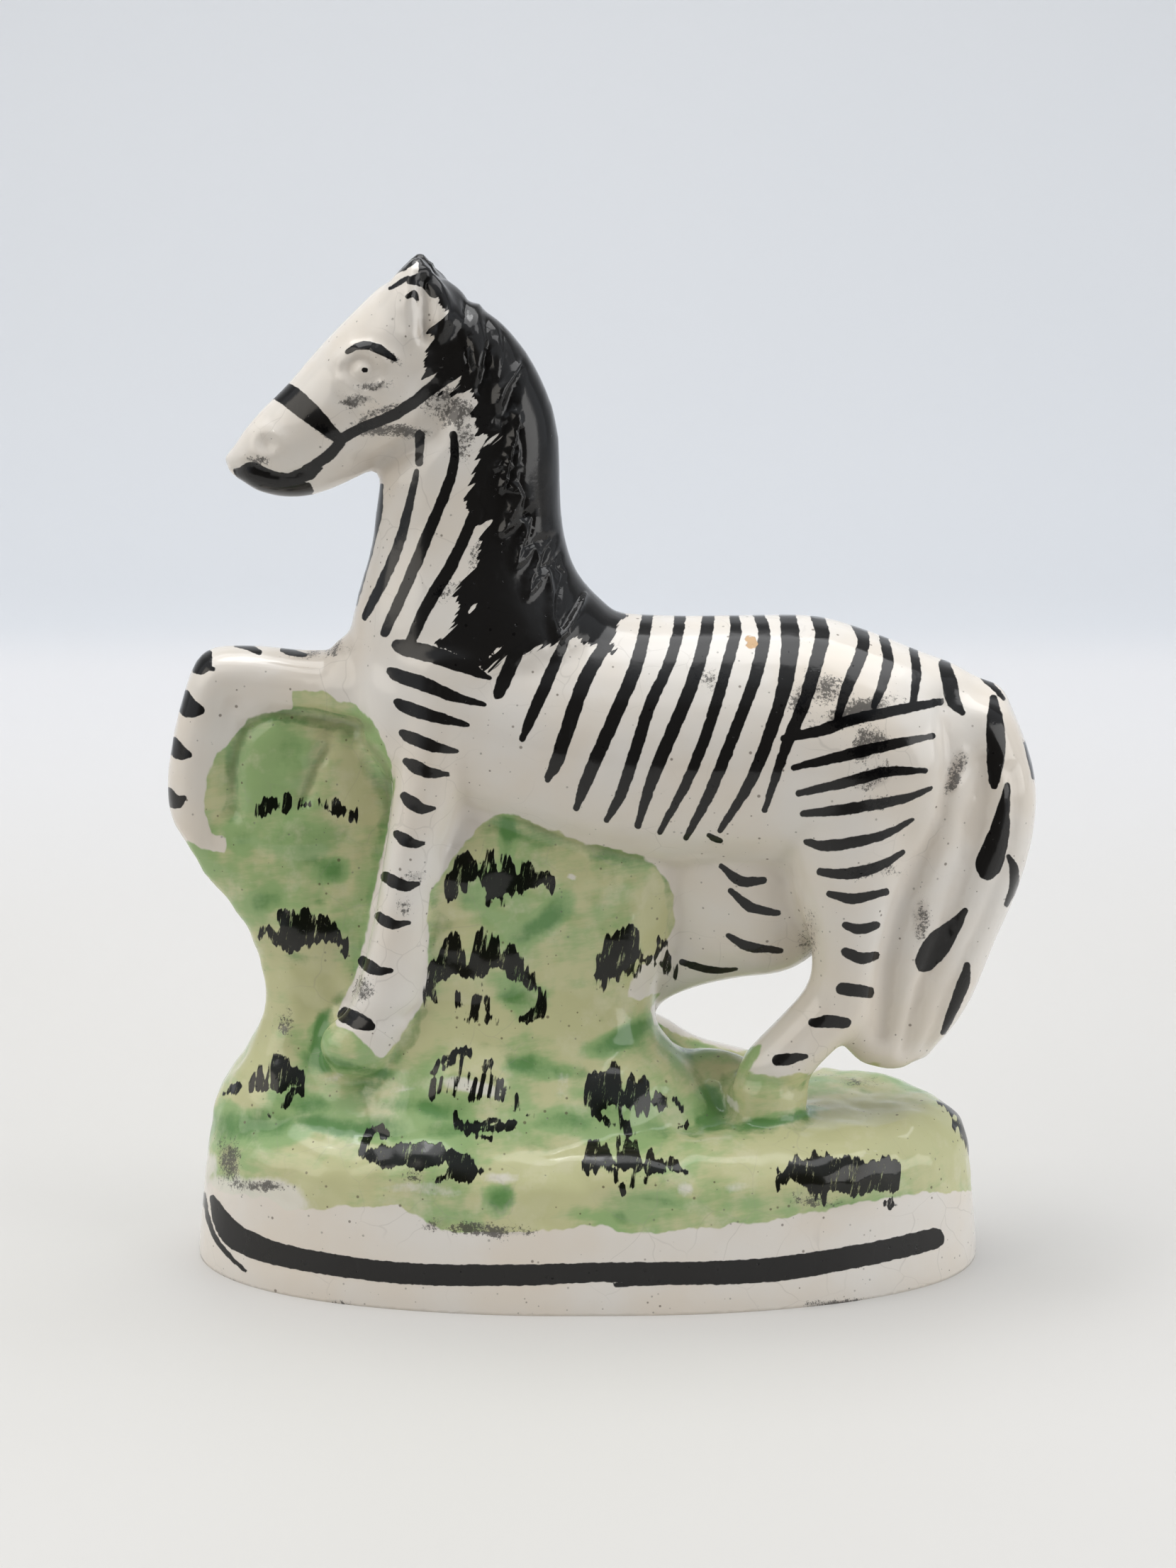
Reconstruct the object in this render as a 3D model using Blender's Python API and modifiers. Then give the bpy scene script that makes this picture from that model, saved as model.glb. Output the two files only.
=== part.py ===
"""A small glazed pottery zebra on an oval plinth, press-moulded as one piece.

Run with: blender --background --python part.py
The frame is in metres, +Z up, with the origin on the table under the plinth's middle. The zebra's
head points to -X, and the side with the standing foreleg, the near side, faces -Y.
"""

import math

import bmesh
import bpy
import numpy as np

# Driving sizes of the plinth and of the ground on it, in metres
PLINTH_LENGTH = 0.105
PLINTH_DEPTH = 0.050
PLINTH_HEIGHT = 0.012
PLINTH_FLARE = 0.0010
OVAL_POWER = 2.25
MOUND_RISE = 0.009
MOUND_SETBACK = 0.0004
MOUND_ROUNDING = 0.0070
PLINTH_EDGE_LEVELS = (0.1, 0.9)

# The zebra: its height from the ground it stands on to its ear tips, and how far it is across
ZEBRA_HEIGHT = 0.112
BARREL_THICKNESS = 0.029

# How the clay is worked
CLAY_GRAIN = 0.0008
SOFTENING_PASSES = 6
FACE_BUDGET = 9400
RING_SIDES = 28
RINGS_PER_SPAN = 4
DOME_LEANS = (40.0, 70.0)
DOME_REACH = 0.8
OVAL_POINTS = 96
ROUNDING_STEPS = 8
SOFTENING = 0.5
SKIRT_BELOW_TABLE = 0.003

GLAZE_COLOUR = (0.78, 0.74, 0.70, 1.0)
GLAZE_ROUGHNESS = 0.12

# The figure's own tables are in shares of its height, at SHARES to the whole, from the ground up
SHARES = 112.0
BARREL_SHARES = 29.0
UNIT = ZEBRA_HEIGHT / SHARES
ACROSS = BARREL_THICKNESS / BARREL_SHARES
GROUND = PLINTH_HEIGHT + MOUND_RISE

# A limb is a row of oval sections. Each has its front or upper edge (x, z) and its back or lower
# edge (x, z), then how far its middle is off centre and half its thickness.
TORSO = [
    (-30.0, 62.5, -30.0, 52.0, 0.0, 6.0),
    (-26.5, 65.5, -27.0, 45.5, 0.0, 10.0),
    (-21.0, 67.0, -21.5, 41.0, 0.0, 12.5),
    (-13.5, 68.0, -14.0, 38.0, 0.0, 14.0),
    (-6.5, 67.5, -6.5, 35.5, 0.0, 14.5),
    (2.0, 66.0, 2.0, 33.5, 0.0, 14.5),
    (11.0, 65.5, 11.0, 32.5, 0.0, 14.5),
    (20.0, 65.5, 20.5, 32.0, 0.0, 14.5),
    (29.5, 65.4, 30.0, 31.5, 0.0, 15.0),
    (37.0, 63.3, 37.5, 31.0, 0.0, 15.0),
    (43.0, 60.9, 43.5, 33.0, 0.0, 13.5),
    (47.5, 59.2, 48.0, 36.0, 0.0, 11.0),
    (50.0, 57.7, 50.5, 38.5, 0.0, 7.5),
]
NECK = [
    (-32.0, 57.0, 4.0, 65.5, 0.0, 13.0),
    (-30.0, 67.5, -1.0, 70.5, 0.0, 11.0),
    (-28.0, 74.5, -3.5, 76.5, 0.0, 9.2),
    (-27.0, 81.0, -4.5, 83.0, 0.0, 8.2),
    (-26.0, 86.5, -5.0, 90.5, 0.0, 7.6),
    (-24.0, 90.5, -7.5, 97.0, 0.0, 7.2),
    (-22.5, 95.5, -11.5, 102.3, 0.0, 6.6),
    (-21.5, 99.0, -15.0, 104.5, 0.0, 6.0),
]
HEAD = [
    (-22.0, 109.0, -15.5, 96.5, 0.0, 6.3),
    (-25.5, 108.5, -17.0, 93.5, 0.0, 7.5),
    (-30.0, 104.5, -21.5, 89.0, 0.0, 7.8),
    (-34.0, 100.5, -27.0, 85.0, 0.0, 7.0),
    (-38.5, 95.5, -33.0, 82.0, 0.0, 5.8),
    (-42.0, 92.0, -37.5, 81.0, 0.0, 5.2),
    (-44.5, 88.9, -41.8, 81.7, 0.0, 4.6),
    (-45.3, 87.3, -44.4, 83.3, 0.0, 3.2),
]
EAR = [
    (-27.0, 105.0, -14.5, 103.5, 3.0, 4.2),
    (-25.5, 108.0, -16.5, 106.5, 3.0, 3.6),
    (-24.0, 110.0, -18.5, 109.0, 3.0, 2.6),
    (-22.5, 111.3, -20.0, 110.8, 3.0, 1.6),
]
STANDING_FORELEG = [
    (-27.0, 62.0, -5.0, 62.0, -3.5, 10.0),
    (-25.5, 54.5, -10.0, 54.5, -5.5, 8.5),
    (-25.0, 47.0, -14.5, 47.0, -7.0, 6.8),
    (-25.5, 41.0, -17.0, 41.0, -8.0, 5.5),
    (-26.5, 35.0, -19.0, 35.0, -8.5, 4.8),
    (-27.5, 29.0, -20.0, 29.0, -9.0, 4.4),
    (-29.0, 22.0, -21.0, 22.0, -9.0, 4.5),
    (-30.5, 17.0, -21.5, 17.0, -9.0, 4.7),
    (-32.0, 13.0, -23.0, 13.0, -9.0, 4.5),
    (-31.0, 9.0, -25.0, 9.0, -9.0, 4.0),
]
RAISED_FORELEG = [
    (-28.5, 61.0, -28.5, 51.5, 0.0, 7.0),
    (-37.0, 60.5, -37.0, 52.5, 2.0, 5.8),
    (-44.5, 61.0, -44.0, 53.0, 3.0, 5.2),
    (-50.5, 60.0, -46.0, 53.0, 3.0, 5.0),
    (-53.5, 53.0, -46.0, 50.0, 3.0, 5.0),
    (-55.0, 47.0, -46.5, 46.0, 3.0, 5.0),
    (-55.5, 42.0, -47.0, 42.0, 3.0, 5.0),
    (-55.0, 38.0, -47.5, 37.5, 3.0, 5.0),
    (-53.5, 35.5, -48.5, 34.5, 3.0, 4.8),
]
FORWARD_HIND_LEG = [
    (4.0, 44.0, 38.0, 37.0, 1.5, 9.5),
    (6.0, 36.0, 34.0, 24.5, 1.5, 9.0),
    (7.5, 29.0, 28.0, 18.0, 2.0, 7.8),
    (8.0, 24.0, 20.5, 16.5, 2.5, 6.5),
    (7.0, 19.0, 15.0, 15.0, 3.5, 5.5),
    (5.0, 14.5, 10.5, 12.5, 5.0, 4.8),
    (3.0, 10.0, 8.0, 8.5, 6.5, 4.5),
    (0.5, 5.0, 7.0, 4.5, 7.0, 4.3),
    (-1.0, 0.0, 7.5, 0.0, 7.0, 4.6),
    (-1.0, -3.0, 7.5, -3.0, 7.0, 4.6),
]
BACK_HIND_LEG = [
    (23.0, 50.0, 45.0, 50.0, -5.5, 9.5),
    (25.0, 39.0, 43.0, 38.0, -7.0, 8.0),
    (27.0, 30.5, 41.0, 30.5, -8.0, 6.3),
    (29.0, 23.0, 39.0, 23.0, -8.0, 5.2),
    (28.5, 18.0, 37.5, 15.0, -8.0, 4.7),
    (25.0, 13.5, 32.0, 9.0, -8.0, 4.4),
    (20.5, 8.5, 29.5, 6.0, -8.0, 4.4),
    (19.0, 4.5, 29.0, 3.0, -8.0, 4.6),
    (18.5, 0.5, 28.5, 0.5, -8.0, 5.0),
    (18.5, -3.0, 28.5, -3.0, -8.0, 5.0),
]
TAIL = [
    (43.5, 55.5, 51.0, 56.0, 0.0, 7.0),
    (44.5, 53.5, 54.2, 54.5, -0.3, 8.2),
    (45.0, 50.0, 56.5, 50.5, -0.5, 8.7),
    (46.0, 44.5, 58.4, 44.0, -1.0, 9.0),
    (45.0, 38.0, 58.0, 37.0, -1.5, 9.2),
    (42.5, 32.0, 56.2, 30.0, -2.0, 9.0),
    (40.5, 25.0, 53.5, 23.0, -2.0, 8.5),
    (38.5, 18.0, 51.0, 16.0, -2.0, 7.8),
    (37.0, 13.0, 48.5, 11.5, -2.0, 7.0),
    (38.0, 10.0, 46.5, 9.0, -2.0, 5.5),
]
RUMP_WEB = [
    (36.0, 46.0, 50.0, 46.0, -2.0, 11.0),
    (34.5, 36.0, 49.0, 36.0, -3.0, 9.5),
    (34.0, 27.0, 47.0, 27.0, -3.5, 8.2),
    (33.0, 19.0, 45.0, 19.0, -4.0, 7.0),
    (31.5, 12.5, 43.0, 12.0, -4.0, 6.0),
    (33.5, 9.0, 43.0, 8.5, -3.5, 5.5),
]
LEAVES_UNDER_FORELEG = [
    (-50.0, -3.0, -20.0, -3.0, 1.0, 15.0),
    (-49.5, 0.5, -20.0, 0.5, 1.0, 13.5),
    (-47.5, 4.0, -20.0, 4.0, 1.0, 11.0),
    (-44.5, 9.0, -20.0, 9.0, 0.5, 8.5),
    (-43.0, 14.0, -20.0, 14.0, 0.5, 7.5),
    (-44.0, 21.0, -20.0, 21.0, 0.5, 6.5),
    (-46.5, 26.0, -20.0, 26.0, 0.5, 6.0),
    (-50.5, 31.0, -20.0, 31.0, 1.0, 5.5),
    (-53.0, 36.0, -20.0, 36.0, 1.5, 5.0),
    (-53.5, 45.0, -20.0, 45.0, 2.0, 4.8),
    (-50.5, 56.0, -20.0, 56.0, 2.0, 4.8),
]
LEAVES_UNDER_BELLY = [
    (-31.0, -3.0, 21.0, -3.0, -2.0, 18.0),
    (-30.5, 1.0, 18.0, 1.0, -2.0, 16.0),
    (-30.0, 5.0, 14.5, 5.0, -1.5, 13.5),
    (-30.0, 10.0, 9.5, 10.0, -1.0, 11.5),
    (-29.5, 16.0, 9.0, 16.0, -0.5, 10.0),
    (-29.0, 23.0, 11.5, 23.0, -0.5, 9.5),
    (-28.0, 29.0, 12.0, 29.0, -0.5, 9.5),
    (-26.0, 35.0, 12.0, 34.5, -0.5, 9.2),
    (-25.0, 42.0, 8.0, 40.0, 0.0, 8.5),
]
BACK_BANK = [
    (2.0, 9.0, 2.0, -5.0, 10.0, 6.0),
    (9.0, 8.5, 9.0, -5.0, 11.0, 5.5),
    (15.0, 4.5, 15.0, -5.0, 12.0, 5.0),
    (22.0, 2.5, 22.0, -5.0, 12.0, 5.0),
    (30.0, 0.0, 30.0, -5.0, 11.0, 4.5),
]
HOOF_OF_FORELEG = (-31.0, -10.0, 10.5, 4.2, 3.8, 4.0)

# Relief is worked into the finished form. Paths and middles are (x, z); widths and rises are in
# shares too, and a fall is a rise below nothing.
MANE_LOCKS = [
    (-14.5, 107.5),
    (-15.5, 102.5),
    (-14.0, 96.5),
    (-12.5, 102.0),
    (-11.5, 92.0),
    (-9.0, 98.0),
    (-11.0, 83.0),
    (-9.0, 90.5),
    (-11.0, 77.5),
    (-7.5, 80.5),
    (-9.5, 73.0),
    (-6.5, 76.5),
    (-7.5, 69.0),
    (-4.5, 73.5),
    (-3.5, 64.0),
    (0.5, 71.5),
    (6.0, 78.0),
    (6.0, 112.0),
    (-9.0, 114.0),
]
MANE_RISE = 1.1
MANE_EDGE = 0.4

# The head and the mane, which keep more of their faces, lie before and above these
HEAD_BACK = 0.0
HEAD_FOOT = 64.0
CARE_OF_HEAD = 2.5e-4
THINNING_OF_HEAD = 0.5
THINNING_OF_REST = 1.0

EYE = (-28.0, 98.0)
NOSTRIL = (-40.5, 88.5)
BOTH_SIDES = (-1.0, 1.0)
NEAR_SIDE = (-1.0,)
FAR_SIDE = (1.0,)

# Relief fades out where the skin turns away from its side, and a spot fades from its middle outwards
FACING = (0.1, 0.5)
SPOT_FADE = (1.2, 0.3)

# Each line: the sides it is on, its half width, its rise, and its path
LINES = [
    (BOTH_SIDES, 1.0, 0.7, [
        (-22.0, 102.5), (-22.5, 106.0), (-21.5, 110.0), (-19.5, 110.0), (-18.0, 106.0),
        (-18.5, 102.5),
    ]),
    (BOTH_SIDES, 1.0, -1.0, [(-20.3, 109.0), (-20.2, 105.0), (-20.3, 102.5)]),
    (BOTH_SIDES, 0.9, 0.55, [(-31.0, 99.0), (-29.5, 100.7), (-27.0, 101.0), (-24.5, 99.3)]),
    (BOTH_SIDES, 0.9, 0.35, [(-31.0, 96.8), (-28.5, 95.2), (-25.5, 95.7)]),
    (BOTH_SIDES, 0.6, -0.5, [(-45.5, 84.5), (-43.0, 85.8), (-39.0, 84.3), (-36.0, 85.0)]),
    (BOTH_SIDES, 1.6, -0.7, [(-29.0, 86.0), (-24.0, 87.0), (-19.5, 89.5), (-17.0, 95.0)]),
    (NEAR_SIDE, 1.2, -0.9, [
        (-46.5, 40.0), (-46.3, 47.0), (-44.5, 51.0), (-41.0, 53.0), (-36.0, 52.5), (-30.0, 51.5),
    ]),
    (NEAR_SIDE, 1.0, -0.6, [(-33.5, 50.0), (-35.5, 46.0), (-37.0, 41.5)]),
    (NEAR_SIDE, 1.8, -1.3, [
        (46.0, 56.0), (46.5, 48.0), (45.5, 41.5), (43.0, 36.5), (40.5, 29.0), (39.0, 22.0),
        (38.5, 12.0),
    ]),
    (FAR_SIDE, 1.6, -0.9, [(46.0, 56.0), (46.5, 46.0), (43.0, 36.0), (40.0, 26.0), (38.5, 12.0)]),
    (BOTH_SIDES, 1.0, -0.5, [
        (50.5, 49.0), (51.0, 44.0), (50.0, 37.0), (46.5, 27.0), (43.0, 18.0), (41.5, 9.0),
    ]),
    (BOTH_SIDES, 1.0, -0.5, [
        (54.5, 47.0), (55.0, 42.0), (54.0, 36.0), (50.5, 26.5), (46.5, 17.0), (44.5, 9.0),
    ]),
    (BOTH_SIDES, 0.9, -0.45, [(18.0, 5.5), (23.0, 6.5), (28.0, 4.5)]),
    (NEAR_SIDE, 0.9, -0.4, [(-32.0, 15.5), (-27.0, 15.0), (-21.5, 15.5)]),
]
# Each swelling or dimple: the sides it is on, its middle, its half length and height, and its rise
SPOTS = [
    (BOTH_SIDES, EYE, 4.2, 3.4, 0.9),
    (BOTH_SIDES, EYE, 2.7, 2.3, -1.3),
    (BOTH_SIDES, EYE, 1.6, 1.5, 1.4),
    (BOTH_SIDES, NOSTRIL, 2.6, 2.4, 0.7),
    (BOTH_SIDES, NOSTRIL, 1.3, 1.2, -1.0),
    (BOTH_SIDES, (-24.5, 93.0), 4.0, 4.5, 0.6),
    (NEAR_SIDE, (-15.0, 7.0), 6.0, 4.0, 1.3),
    (NEAR_SIDE, (5.5, 5.5), 6.0, 4.0, 1.0),
    (NEAR_SIDE, (-22.0, -2.5), 7.0, 3.0, 0.9),
    (NEAR_SIDE, (6.0, -3.0), 6.5, 3.0, 0.9),
    (NEAR_SIDE, (32.0, -4.0), 8.0, 3.5, 1.0),
    (NEAR_SIDE, (-16.0, 34.0), 6.0, 3.5, 0.6),
    (NEAR_SIDE, (-16.0, 22.0), 7.0, 5.0, 0.8),
    (NEAR_SIDE, (5.0, 22.5), 3.5, 5.0, 0.7),
    (NEAR_SIDE, (-37.0, 24.5), 5.5, 3.5, 0.7),
    (NEAR_SIDE, (-42.0, 4.0), 5.5, 4.0, 0.9),
    (NEAR_SIDE, (-38.0, 37.0), 7.0, 3.0, 0.5),
]


def clear_scene():
    for thing in list(bpy.data.objects):
        bpy.data.objects.remove(thing)


def smooth_rows(rows, per_span):
    """Rows of numbers drawn through by a Catmull-Rom curve, with per_span steps between two rows."""
    table = np.array(rows, float)
    padded = np.vstack([2 * table[0] - table[1], table, 2 * table[-1] - table[-2]])
    drawn = []
    for i in range(len(table) - 1):
        a, b, c, d = padded[i : i + 4]
        for step in range(per_span):
            t = step / per_span
            slope = (c - a) * t
            bend = (2 * a - 5 * b + 4 * c - d) * t**2
            twist = (3 * b - a - 3 * c + d) * t**3
            drawn.append(b + 0.5 * (slope + bend + twist))
    drawn.append(table[-1])
    return np.array(drawn)


def oval_ring(edge_a, edge_b, off_centre, half_thick, boxy, slimmer):
    """Points round an oval whose long axis is edge_a to edge_b.

    A boxy oval has flatter sides, and slimmer takes thickness from edge_b's end for edge_a's.
    """
    turn = np.linspace(0, 2 * math.pi, RING_SIDES, endpoint=False)
    power = 1 - boxy
    along = -np.sign(np.cos(turn)) * np.abs(np.cos(turn)) ** power
    aside = np.sign(np.sin(turn)) * np.abs(np.sin(turn)) ** power
    middle, half = (edge_a + edge_b) / 2, (edge_b - edge_a) / 2
    ring = np.zeros((RING_SIDES, 3))
    ring[:, 0] = middle[0] + half[0] * along
    ring[:, 2] = middle[1] + half[1] * along
    ring[:, 1] = off_centre + half_thick * aside * (1 - slimmer * along)
    return ring


def domed(rings):
    """The rings with two smaller ones past each end, so that the limb ends round."""
    for end, inner in ((0, 1), (-1, -2)):
        last = rings[end]
        middle = last.mean(axis=0)
        way = middle - rings[inner].mean(axis=0)
        way /= np.linalg.norm(way)
        reach = DOME_REACH * np.linalg.norm(last - middle, axis=1).min()
        caps = []
        for lean in np.radians(DOME_LEANS):
            caps.append(middle + (last - middle) * math.cos(lean) + way * reach * math.sin(lean))
        rings = caps[::-1] + rings if end == 0 else rings + caps
    return rings


def place(points):
    """Figure shares as metres in the part's frame."""
    return points * [UNIT, ACROSS, UNIT] + [0, 0, GROUND]


def add_loft(clay, rings):
    """Adds the closed skin through the rings to the clay."""
    made = [[clay.verts.new(point) for point in ring] for ring in rings]
    faces = []
    for low, high in zip(made, made[1:]):
        for i in range(len(low)):
            j = (i + 1) % len(low)
            faces.append(clay.faces.new((low[i], low[j], high[j], high[i])))
    faces.append(clay.faces.new(made[0][::-1]))
    faces.append(clay.faces.new(made[-1]))
    bmesh.ops.recalc_face_normals(clay, faces=faces)


def add_limb(clay, sections, boxy=0.0, slimmer=0.0, side=1.0):
    """A limb of the figure from its table. side -1 puts it on the other side of the animal."""
    rings = []
    for ax, az, bx, bz, off_centre, half_thick in smooth_rows(sections, RINGS_PER_SPAN):
        edge_a, edge_b = np.array([ax, az]), np.array([bx, bz])
        rings.append(oval_ring(edge_a, edge_b, side * off_centre, half_thick, boxy, slimmer))
    add_loft(clay, [place(ring) for ring in domed(rings)])


def add_egg(clay, x, y, z, radius_x, radius_y, radius_z):
    """An egg of clay, such as a hoof."""
    made = bmesh.ops.create_uvsphere(clay, u_segments=20, v_segments=12, radius=1.0)
    shape = np.array([vertex.co for vertex in made["verts"]])
    for vertex, point in zip(made["verts"], place(shape * [radius_x, radius_y, radius_z] + [x, y, z])):
        vertex.co = point


def oval_outline(inset, height):
    """A level ring of the plinth's outline, a slightly squared oval, drawn in by inset."""
    turn = np.linspace(0, 2 * math.pi, OVAL_POINTS, endpoint=False)
    power = 2 / OVAL_POWER
    ring = np.zeros((len(turn), 3))
    ring[:, 0] = (PLINTH_LENGTH / 2 - inset) * np.sign(np.cos(turn)) * np.abs(np.cos(turn)) ** power
    ring[:, 1] = (PLINTH_DEPTH / 2 - inset) * np.sign(np.sin(turn)) * np.abs(np.sin(turn)) ** power
    ring[:, 2] = height
    return ring


def add_plinth(clay):
    """The oval plinth, its foot a little wider than its top, and the rounded mound on it."""
    low_edge, high_edge = PLINTH_EDGE_LEVELS
    rings = [
        oval_outline(0, -SKIRT_BELOW_TABLE),
        oval_outline(0, low_edge * PLINTH_HEIGHT),
        oval_outline(PLINTH_FLARE, high_edge * PLINTH_HEIGHT),
    ]
    edge = PLINTH_FLARE + MOUND_SETBACK
    rounding = min(MOUND_ROUNDING, 0.8 * MOUND_RISE)
    for lean in np.radians(np.linspace(0, 90, ROUNDING_STEPS)):
        inset = edge + rounding * (1 - math.cos(lean))
        height = GROUND - rounding * (1 - math.sin(lean))
        rings.append(oval_outline(inset, height))
    add_loft(clay, rings)


def mould_clay():
    """Every limb, leaf and bank as overlapping closed shapes in one mesh."""
    clay = bmesh.new()
    add_plinth(clay)
    for limb in (TORSO, NECK, HEAD, STANDING_FORELEG, RAISED_FORELEG, FORWARD_HIND_LEG, BACK_HIND_LEG):
        add_limb(clay, limb)
    for side in BOTH_SIDES:
        add_limb(clay, EAR, side=side)
    add_limb(clay, TAIL, boxy=0.15)
    add_limb(clay, RUMP_WEB, boxy=0.3)
    add_limb(clay, LEAVES_UNDER_FORELEG, boxy=0.4, slimmer=-0.35)
    add_limb(clay, LEAVES_UNDER_BELLY, boxy=0.3, slimmer=0.2)
    add_limb(clay, BACK_BANK)
    add_egg(clay, *HOOF_OF_FORELEG)
    mesh = bpy.data.meshes.new("zebra_figurine")
    clay.to_mesh(mesh)
    clay.free()
    return mesh


def baked(figure):
    """Applies the figure's modifiers."""
    bpy.context.view_layer.update()
    graph = bpy.context.evaluated_depsgraph_get()
    mesh = bpy.data.meshes.new_from_object(figure.evaluated_get(graph))
    figure.modifiers.clear()
    figure.data = mesh


def run_together(figure):
    """Joins the shapes into one skin and softens it, as slip and glaze do."""
    skin = figure.modifiers.new("one skin", "REMESH")
    skin.mode = "VOXEL"
    skin.voxel_size = CLAY_GRAIN
    soft = figure.modifiers.new("softened", "SMOOTH")
    soft.factor = SOFTENING
    soft.iterations = SOFTENING_PASSES
    baked(figure)


def smoothstep(low, high, value):
    t = np.clip((value - low) / (high - low), 0, 1)
    return t * t * (3 - 2 * t)


def distance_to_path(spots, path):
    """How far each (x, z) spot is from the path."""
    nearest = np.full(len(spots), np.inf)
    for start, end in zip(np.array(path[:-1], float), np.array(path[1:], float)):
        way = end - start
        share = np.clip((spots - start) @ way / (way @ way), 0, 1)
        gap = np.linalg.norm(spots - start - share[:, None] * way, axis=1)
        nearest = np.minimum(nearest, gap)
    return nearest


def inside_outline(spots, outline):
    """Which (x, z) spots the closed outline goes round, by counting the sides crossed."""
    inside = np.zeros(len(spots), bool)
    for (ax, az), (bx, bz) in zip(outline, outline[1:] + outline[:1]):
        between = (spots[:, 1] < az) != (spots[:, 1] < bz)
        with np.errstate(divide="ignore", invalid="ignore"):
            crossing = ax + (spots[:, 1] - az) / (bz - az) * (bx - ax)
        inside ^= between & (spots[:, 0] < crossing)
    return inside


def relief_rise(points, normals):
    """How far the relief lifts each point along its normal, in shares."""
    spots = (points[:, [0, 2]] - [0, GROUND]) / UNIT
    off_lock = distance_to_path(spots, MANE_LOCKS + MANE_LOCKS[:1])
    signed = np.where(inside_outline(spots, MANE_LOCKS), off_lock, -off_lock)
    rise = MANE_RISE * smoothstep(-MANE_EDGE, MANE_EDGE, signed)
    facing = {side: smoothstep(*FACING, side * normals[:, 1]) for side in BOTH_SIDES}
    for sides, half_width, height, path in LINES:
        shape = np.exp(-((distance_to_path(spots, path) / half_width) ** 2))
        for side in sides:
            rise += height * shape * facing[side]
    for sides, middle, half_length, half_height, height in SPOTS:
        reach = np.linalg.norm((spots - middle) / [half_length, half_height], axis=1)
        for side in sides:
            rise += height * smoothstep(*SPOT_FADE, reach) * facing[side]
    return rise


def carve(figure):
    """Works the mane's locks, the face, the folds and the tufts into the skin."""
    mesh = figure.data
    points = np.empty(len(mesh.vertices) * 3)
    normals = np.empty(len(mesh.vertices) * 3)
    mesh.vertices.foreach_get("co", points)
    mesh.vertex_normals.foreach_get("vector", normals)
    points = points.reshape(-1, 3)
    normals = normals.reshape(-1, 3)
    points += normals * relief_rise(points, normals)[:, None] * UNIT
    mesh.vertices.foreach_set("co", points.ravel())
    mesh.update()


def thin_faces(figure):
    """Brings the skin down to the face budget, and keeps more faces on the head and the mane."""
    thinned = figure.vertex_groups.new(name="thinned")
    for vertex in figure.data.vertices:
        x, z = vertex.co.x / UNIT, (vertex.co.z - GROUND) / UNIT
        on_head = x < HEAD_BACK and z > HEAD_FOOT
        share = THINNING_OF_HEAD if on_head else THINNING_OF_REST
        thinned.add([vertex.index], share, "REPLACE")
    count = sum(len(face.vertices) - 2 for face in figure.data.polygons)
    fewer = figure.modifiers.new("fewer faces", "DECIMATE")
    fewer.ratio = min(1.0, FACE_BUDGET / count)
    fewer.vertex_group = thinned.name
    fewer.vertex_group_factor = CARE_OF_HEAD
    baked(figure)
    figure.vertex_groups.clear()


def cut_flat(figure):
    """Cuts the plinth off level at the table and closes its underside."""
    clay = bmesh.new()
    clay.from_mesh(figure.data)
    everything = clay.verts[:] + clay.edges[:] + clay.faces[:]
    table = {"plane_co": (0, 0, 0), "plane_no": (0, 0, 1)}
    cut = bmesh.ops.bisect_plane(clay, geom=everything, clear_inner=True, **table)
    rim = [edge for edge in cut["geom_cut"] if isinstance(edge, bmesh.types.BMEdge)]
    bmesh.ops.contextual_create(clay, geom=rim)
    bmesh.ops.triangulate(clay, faces=clay.faces[:])
    bmesh.ops.recalc_face_normals(clay, faces=clay.faces[:])
    clay.to_mesh(figure.data)
    clay.free()


def glaze():
    """Cream lead glaze over pale earthenware."""
    material = bpy.data.materials.new("glazed_earthenware")
    material.use_nodes = True
    shader = material.node_tree.nodes["Principled BSDF"]
    shader.inputs["Base Color"].default_value = GLAZE_COLOUR
    shader.inputs["Roughness"].default_value = GLAZE_ROUGHNESS
    shader.inputs["Metallic"].default_value = 0.0
    return material


def main():
    clear_scene()
    home = bpy.data.collections.new("pottery zebra")
    bpy.context.scene.collection.children.link(home)
    figure = bpy.data.objects.new("zebra_figurine", mould_clay())
    home.objects.link(figure)
    run_together(figure)
    carve(figure)
    thin_faces(figure)
    cut_flat(figure)
    figure.data.materials.clear()
    figure.data.materials.append(glaze())
    figure.data.shade_smooth()
    return figure


if __name__ == "__main__":
    main()
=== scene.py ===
"""The looks of the glazed pottery zebra: its clay, its brushwork, its glaze, and the studio round it.

The clay is raised again from the same tables of sections as the part's solid, with a finer skin,
so its outline stays the solid's. Every brush mark is a row of a named table, in pixels of the
picture. It is laid on the clay by looking at it from the picture's camera, or from that camera's
mirror image for the side that the picture doesn't show.
"""

import math

import bmesh
import bpy
import numpy as np
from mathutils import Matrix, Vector, noise


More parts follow.
